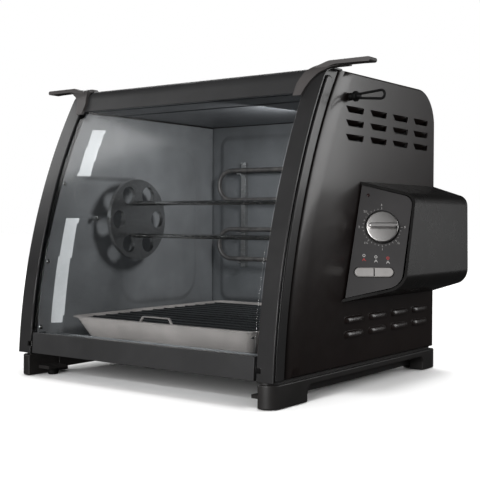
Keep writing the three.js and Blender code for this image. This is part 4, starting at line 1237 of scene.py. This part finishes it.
def make_knob():
    centre = (KNOB_U, KNOB_V)
    edge = 1.6
    profile = [(KNOB_R - 0.6, -2), (KNOB_R, -edge)]
    profile += arc(KNOB_R - edge, 2.2, edge, 0, math.pi / 2, 6)
    profile += [(KNOB_R - 5, 4.0), (8, 4.15), (0, 4.2)]
    disc = lathe(profile, on_panel, centre, 96)
    grip = prism(rounded_box(KNOB_U - 16, KNOB_U + 16, KNOB_V - 2.9, KNOB_V + 2.9, 2.6, 8), 3, 11.9, on_panel)
    bevelled(grip, 1.5, 5, angle=60)
    bore = prism(circle(*centre, 3.3, 32), -4, 3.6, on_panel)
    stand_for(cut(join(disc, grip), bore), "timer_knob", SILVER, bevel=0.35, segments=3, angle=50)


def make_rocker():
    """Two-way rocker: its top is a shallow valley, with a dark joint across the middle."""
    stations = []
    for n, inset in ((-3.5, 0), (0.2, 0), (0.9, 0.25), (1.35, 0.8), (1.55, 1.6)):
        ring = []
        for u, v in capsule(SWITCH_U, SWITCH_V, SWITCH_LONG - 2 * inset, SWITCH_WIDE - 2 * inset):
            valley = 0.7 * (1 - min(abs(u - SWITCH_U) / (SWITCH_LONG / 2), 1)) if n > 0 else 0
            ring.append(on_panel(u, v, n - valley))
        stations.append(ring)
    cap = loft(stations)
    groove = prism(switch_box(0.75, 6, 0.2, 2), -0.6, 3, on_panel)
    stem = prism(switch_box(5, 3.5, 1), -7, -3, on_panel)
    stand_for(join(cut(cap, groove), stem), "rocker_cap", GREY, bevel=0.15, segments=2, angle=50)
    joint = prism(switch_box(0.7, 4.8, 0.2, 2), -0.9, 0.2, on_panel)
    dress(joint, "rocker_cap", PLASTIC, name="rocker_joint")


def make_lamp():
    profile = [(1.6, -5), (1.6, -0.9), (1.45, -0.45), (1.1, -0.15), (0.6, -0.03), (0, 0)]
    stand_for(lathe(profile, on_panel, (LAMP_U, LAMP_V), 32), "indicator_lens", LENS)


INK_LOW, INK_HIGH = PANEL_FACE - 0.05, PANEL_FACE + 0.07
DIAL_TURN, DIAL_STEPS, STEPS_A_NUMBER = math.radians(270), 24, 4


def ink_bar(u, v, angle, length, width):
    """A short printed line whose middle is at (u, v)."""
    along = Vector((math.cos(angle), math.sin(angle))) * length / 2
    across = Vector((-math.sin(angle), math.cos(angle))) * width / 2
    middle = Vector((u, v))
    outline = [middle + along + across, middle - along + across, middle - along - across,
               middle + along - across]
    return prism(outline, INK_LOW, INK_HIGH, on_panel)


def ink_ring(u, v, outer, inner):
    rings = []
    for radius, depth in ((outer, INK_LOW), (outer, INK_HIGH), (inner, INK_HIGH), (inner, INK_LOW)):
        rings.append([on_panel(a, b, depth) for a, b in circle(u, v, radius, 28)])
    rings.append(rings[0])
    return face_outwards(loft(rings, close_ends=False), FINE_MERGE)


def ink_number(text, u, v, height):
    curve = bpy.data.curves.new("number", "FONT")
    curve.body = text
    curve.size = height * MM
    curve.align_x = "CENTER"
    curve.align_y = "CENTER"
    curve.extrude = (INK_HIGH - INK_LOW) / 2 * MM
    curve.resolution_u = 3
    obj = placed("number", curve)
    bpy.context.view_layer.update()
    graph = bpy.context.evaluated_depsgraph_get()
    mesh = bpy.data.meshes.new_from_object(obj.evaluated_get(graph))
    bpy.data.objects.remove(obj)
    axes = Matrix((PANEL_U, PANEL_V, PANEL_N)).transposed().to_4x4()
    axes.translation = on_panel(u, v, (INK_LOW + INK_HIGH) / 2) * MM
    mesh.transform(axes)
    return face_outwards(placed("number", mesh), FINE_MERGE)


def make_markings():
    """Dial numbers every half hour, small ticks between, and three plain heat and turn symbols."""
    white, red = [], []
    labels = ("0", "½", "1", "1½", "2", "2½", "3")
    for i in range(DIAL_STEPS + 1):
        angle = -DIAL_TURN * i / DIAL_STEPS
        major = i % STEPS_A_NUMBER == 0
        reach, length = (22.6, 2.4) if major else (22.0, 1.3)
        u, v = KNOB_U + reach * math.cos(angle), KNOB_V + reach * math.sin(angle)
        white.append(ink_bar(u, v, angle, length, 0.42 if major else 0.36))
        if major:
            u, v = KNOB_U + 26.6 * math.cos(angle), KNOB_V + 26.6 * math.sin(angle)
            white.append(ink_number(labels[i // STEPS_A_NUMBER], u, v, 3.7))
    symbols = ((14.7, -19.4), (28.5, -21.0), (42.3, -22.3))
    for i, (u, v) in enumerate(symbols):
        ring = ink_ring(u, v + 2.6, 1.75, 1.05)
        legs = [ink_bar(u + side * 0.95, v - 2.3, math.radians(-side * 60), 3.6, 0.75) for side in (-1, 1)]
        bar = ink_bar(u, v - 2.5, 0, 1.6, 0.55)
        (red if i == 2 else white).append(ring)
        (red if i == 0 else white).extend(legs + [bar])
    dress(gather(white), "control_panel", WHITE_INK, name="panel_markings")
    dress(gather(red), "control_panel", RED_INK, name="panel_markings_red")


make_pod()
bpy.data.collections["lit_pod"].objects.link(bpy.data.objects["control_pod_finished"])
make_panel()
make_knob()
make_rocker()
make_lamp()
make_markings()


# ---------------- cord keeper
def closed_tube(points, radius, sides=16):
    """Round bar along a closed path that lies in a plane square to the Y axis."""
    rings = []
    for i, point in enumerate(points):
        along = (points[(i + 1) % len(points)] - points[i - 1]).normalized()
        side = along.cross(Vector((0, 1, 0))).normalized()
        other = along.cross(side)
        rings.append([point + side * a + other * b for a, b in circle(0, 0, radius, sides)])
    return face_outwards(loft(rings + rings[:1], close_ends=False), FINE_MERGE)


def make_keeper():
    """Rubber strap loop that stands out from the wall and holds a bight of cord."""
    low, high = corners("cord_keeper")
    y, z = (low.y + high.y) / 2, (low.z + high.z) / 2
    start, tip, bow = 205.0, high.x - 1.55, 5.2
    bends = [(start, z - 2.2, 1), (tip, z - bow, 4.6), (tip, z + bow, 4.6), (start, z + 2.2, 1)]
    outline = rounded(bends, 12)
    dense = []
    for i, (a, b) in enumerate(outline):
        c, d = outline[(i + 1) % len(outline)]
        parts = max(1, int(math.hypot(c - a, d - b) / 3))
        dense += [(a + (c - a) * k / parts, b + (d - b) * k / parts) for k in range(parts)]
    loop = closed_tube([Vector((x, y, height)) for x, height in dense], 1.5)
    profile = [(4.4, WALL_OUTER + 0.4), (4.6, 196), (4.0, 197), (4.0, 199), (5.6, 199.6), (6.0, 200.6),
               (6.0, 203.2), (5.6, 204), (3.4, 204.6), (3.2, 206.5), (2.6, 208)]
    stand_for(join(loop, lathe(profile, across_x, (y, z), 36)), "cord_keeper", RUBBER, smooth=50)


make_keeper()


# ---------------- pressings and turned parts that stay plain
def refine_plain_parts():
    plain = [("base_pan", PLASTIC, 0.5), ("front_sill", LINER, 0.3), ("ceiling_liner", BACK_LINER, 0.4),
             ("cavity_floor", LINER, 0.3)]
    for side in ("right", "left"):
        plain += [(f"{side}_element_bracket", STEEL, 0.3), (f"{side}_spit_support", STEEL, 0.5),
                  (f"{side}_hinge_pin", STEEL, 0.3), (f"{side}_hinge_bracket", STEEL, 0.3)]
    plain += [("guide_stud", STEEL, 0.4), ("motor_bracket", STEEL, 0.3), ("gear_motor", STEEL, 0.6),
              ("timer_body", STEEL, 0.5), ("timer_shaft", BRASS, 0.3), ("rocker_switch_body", PLASTIC, 0.4),
              ("terminal_block", PLASTIC, 0.5), ("thermal_cutout", PLASTIC, 0.4),
              ("cord_bushing", RUBBER, 0.4)]
    for node, material, bevel in plain:
        refined(node, material, bevel)


refine_plain_parts()
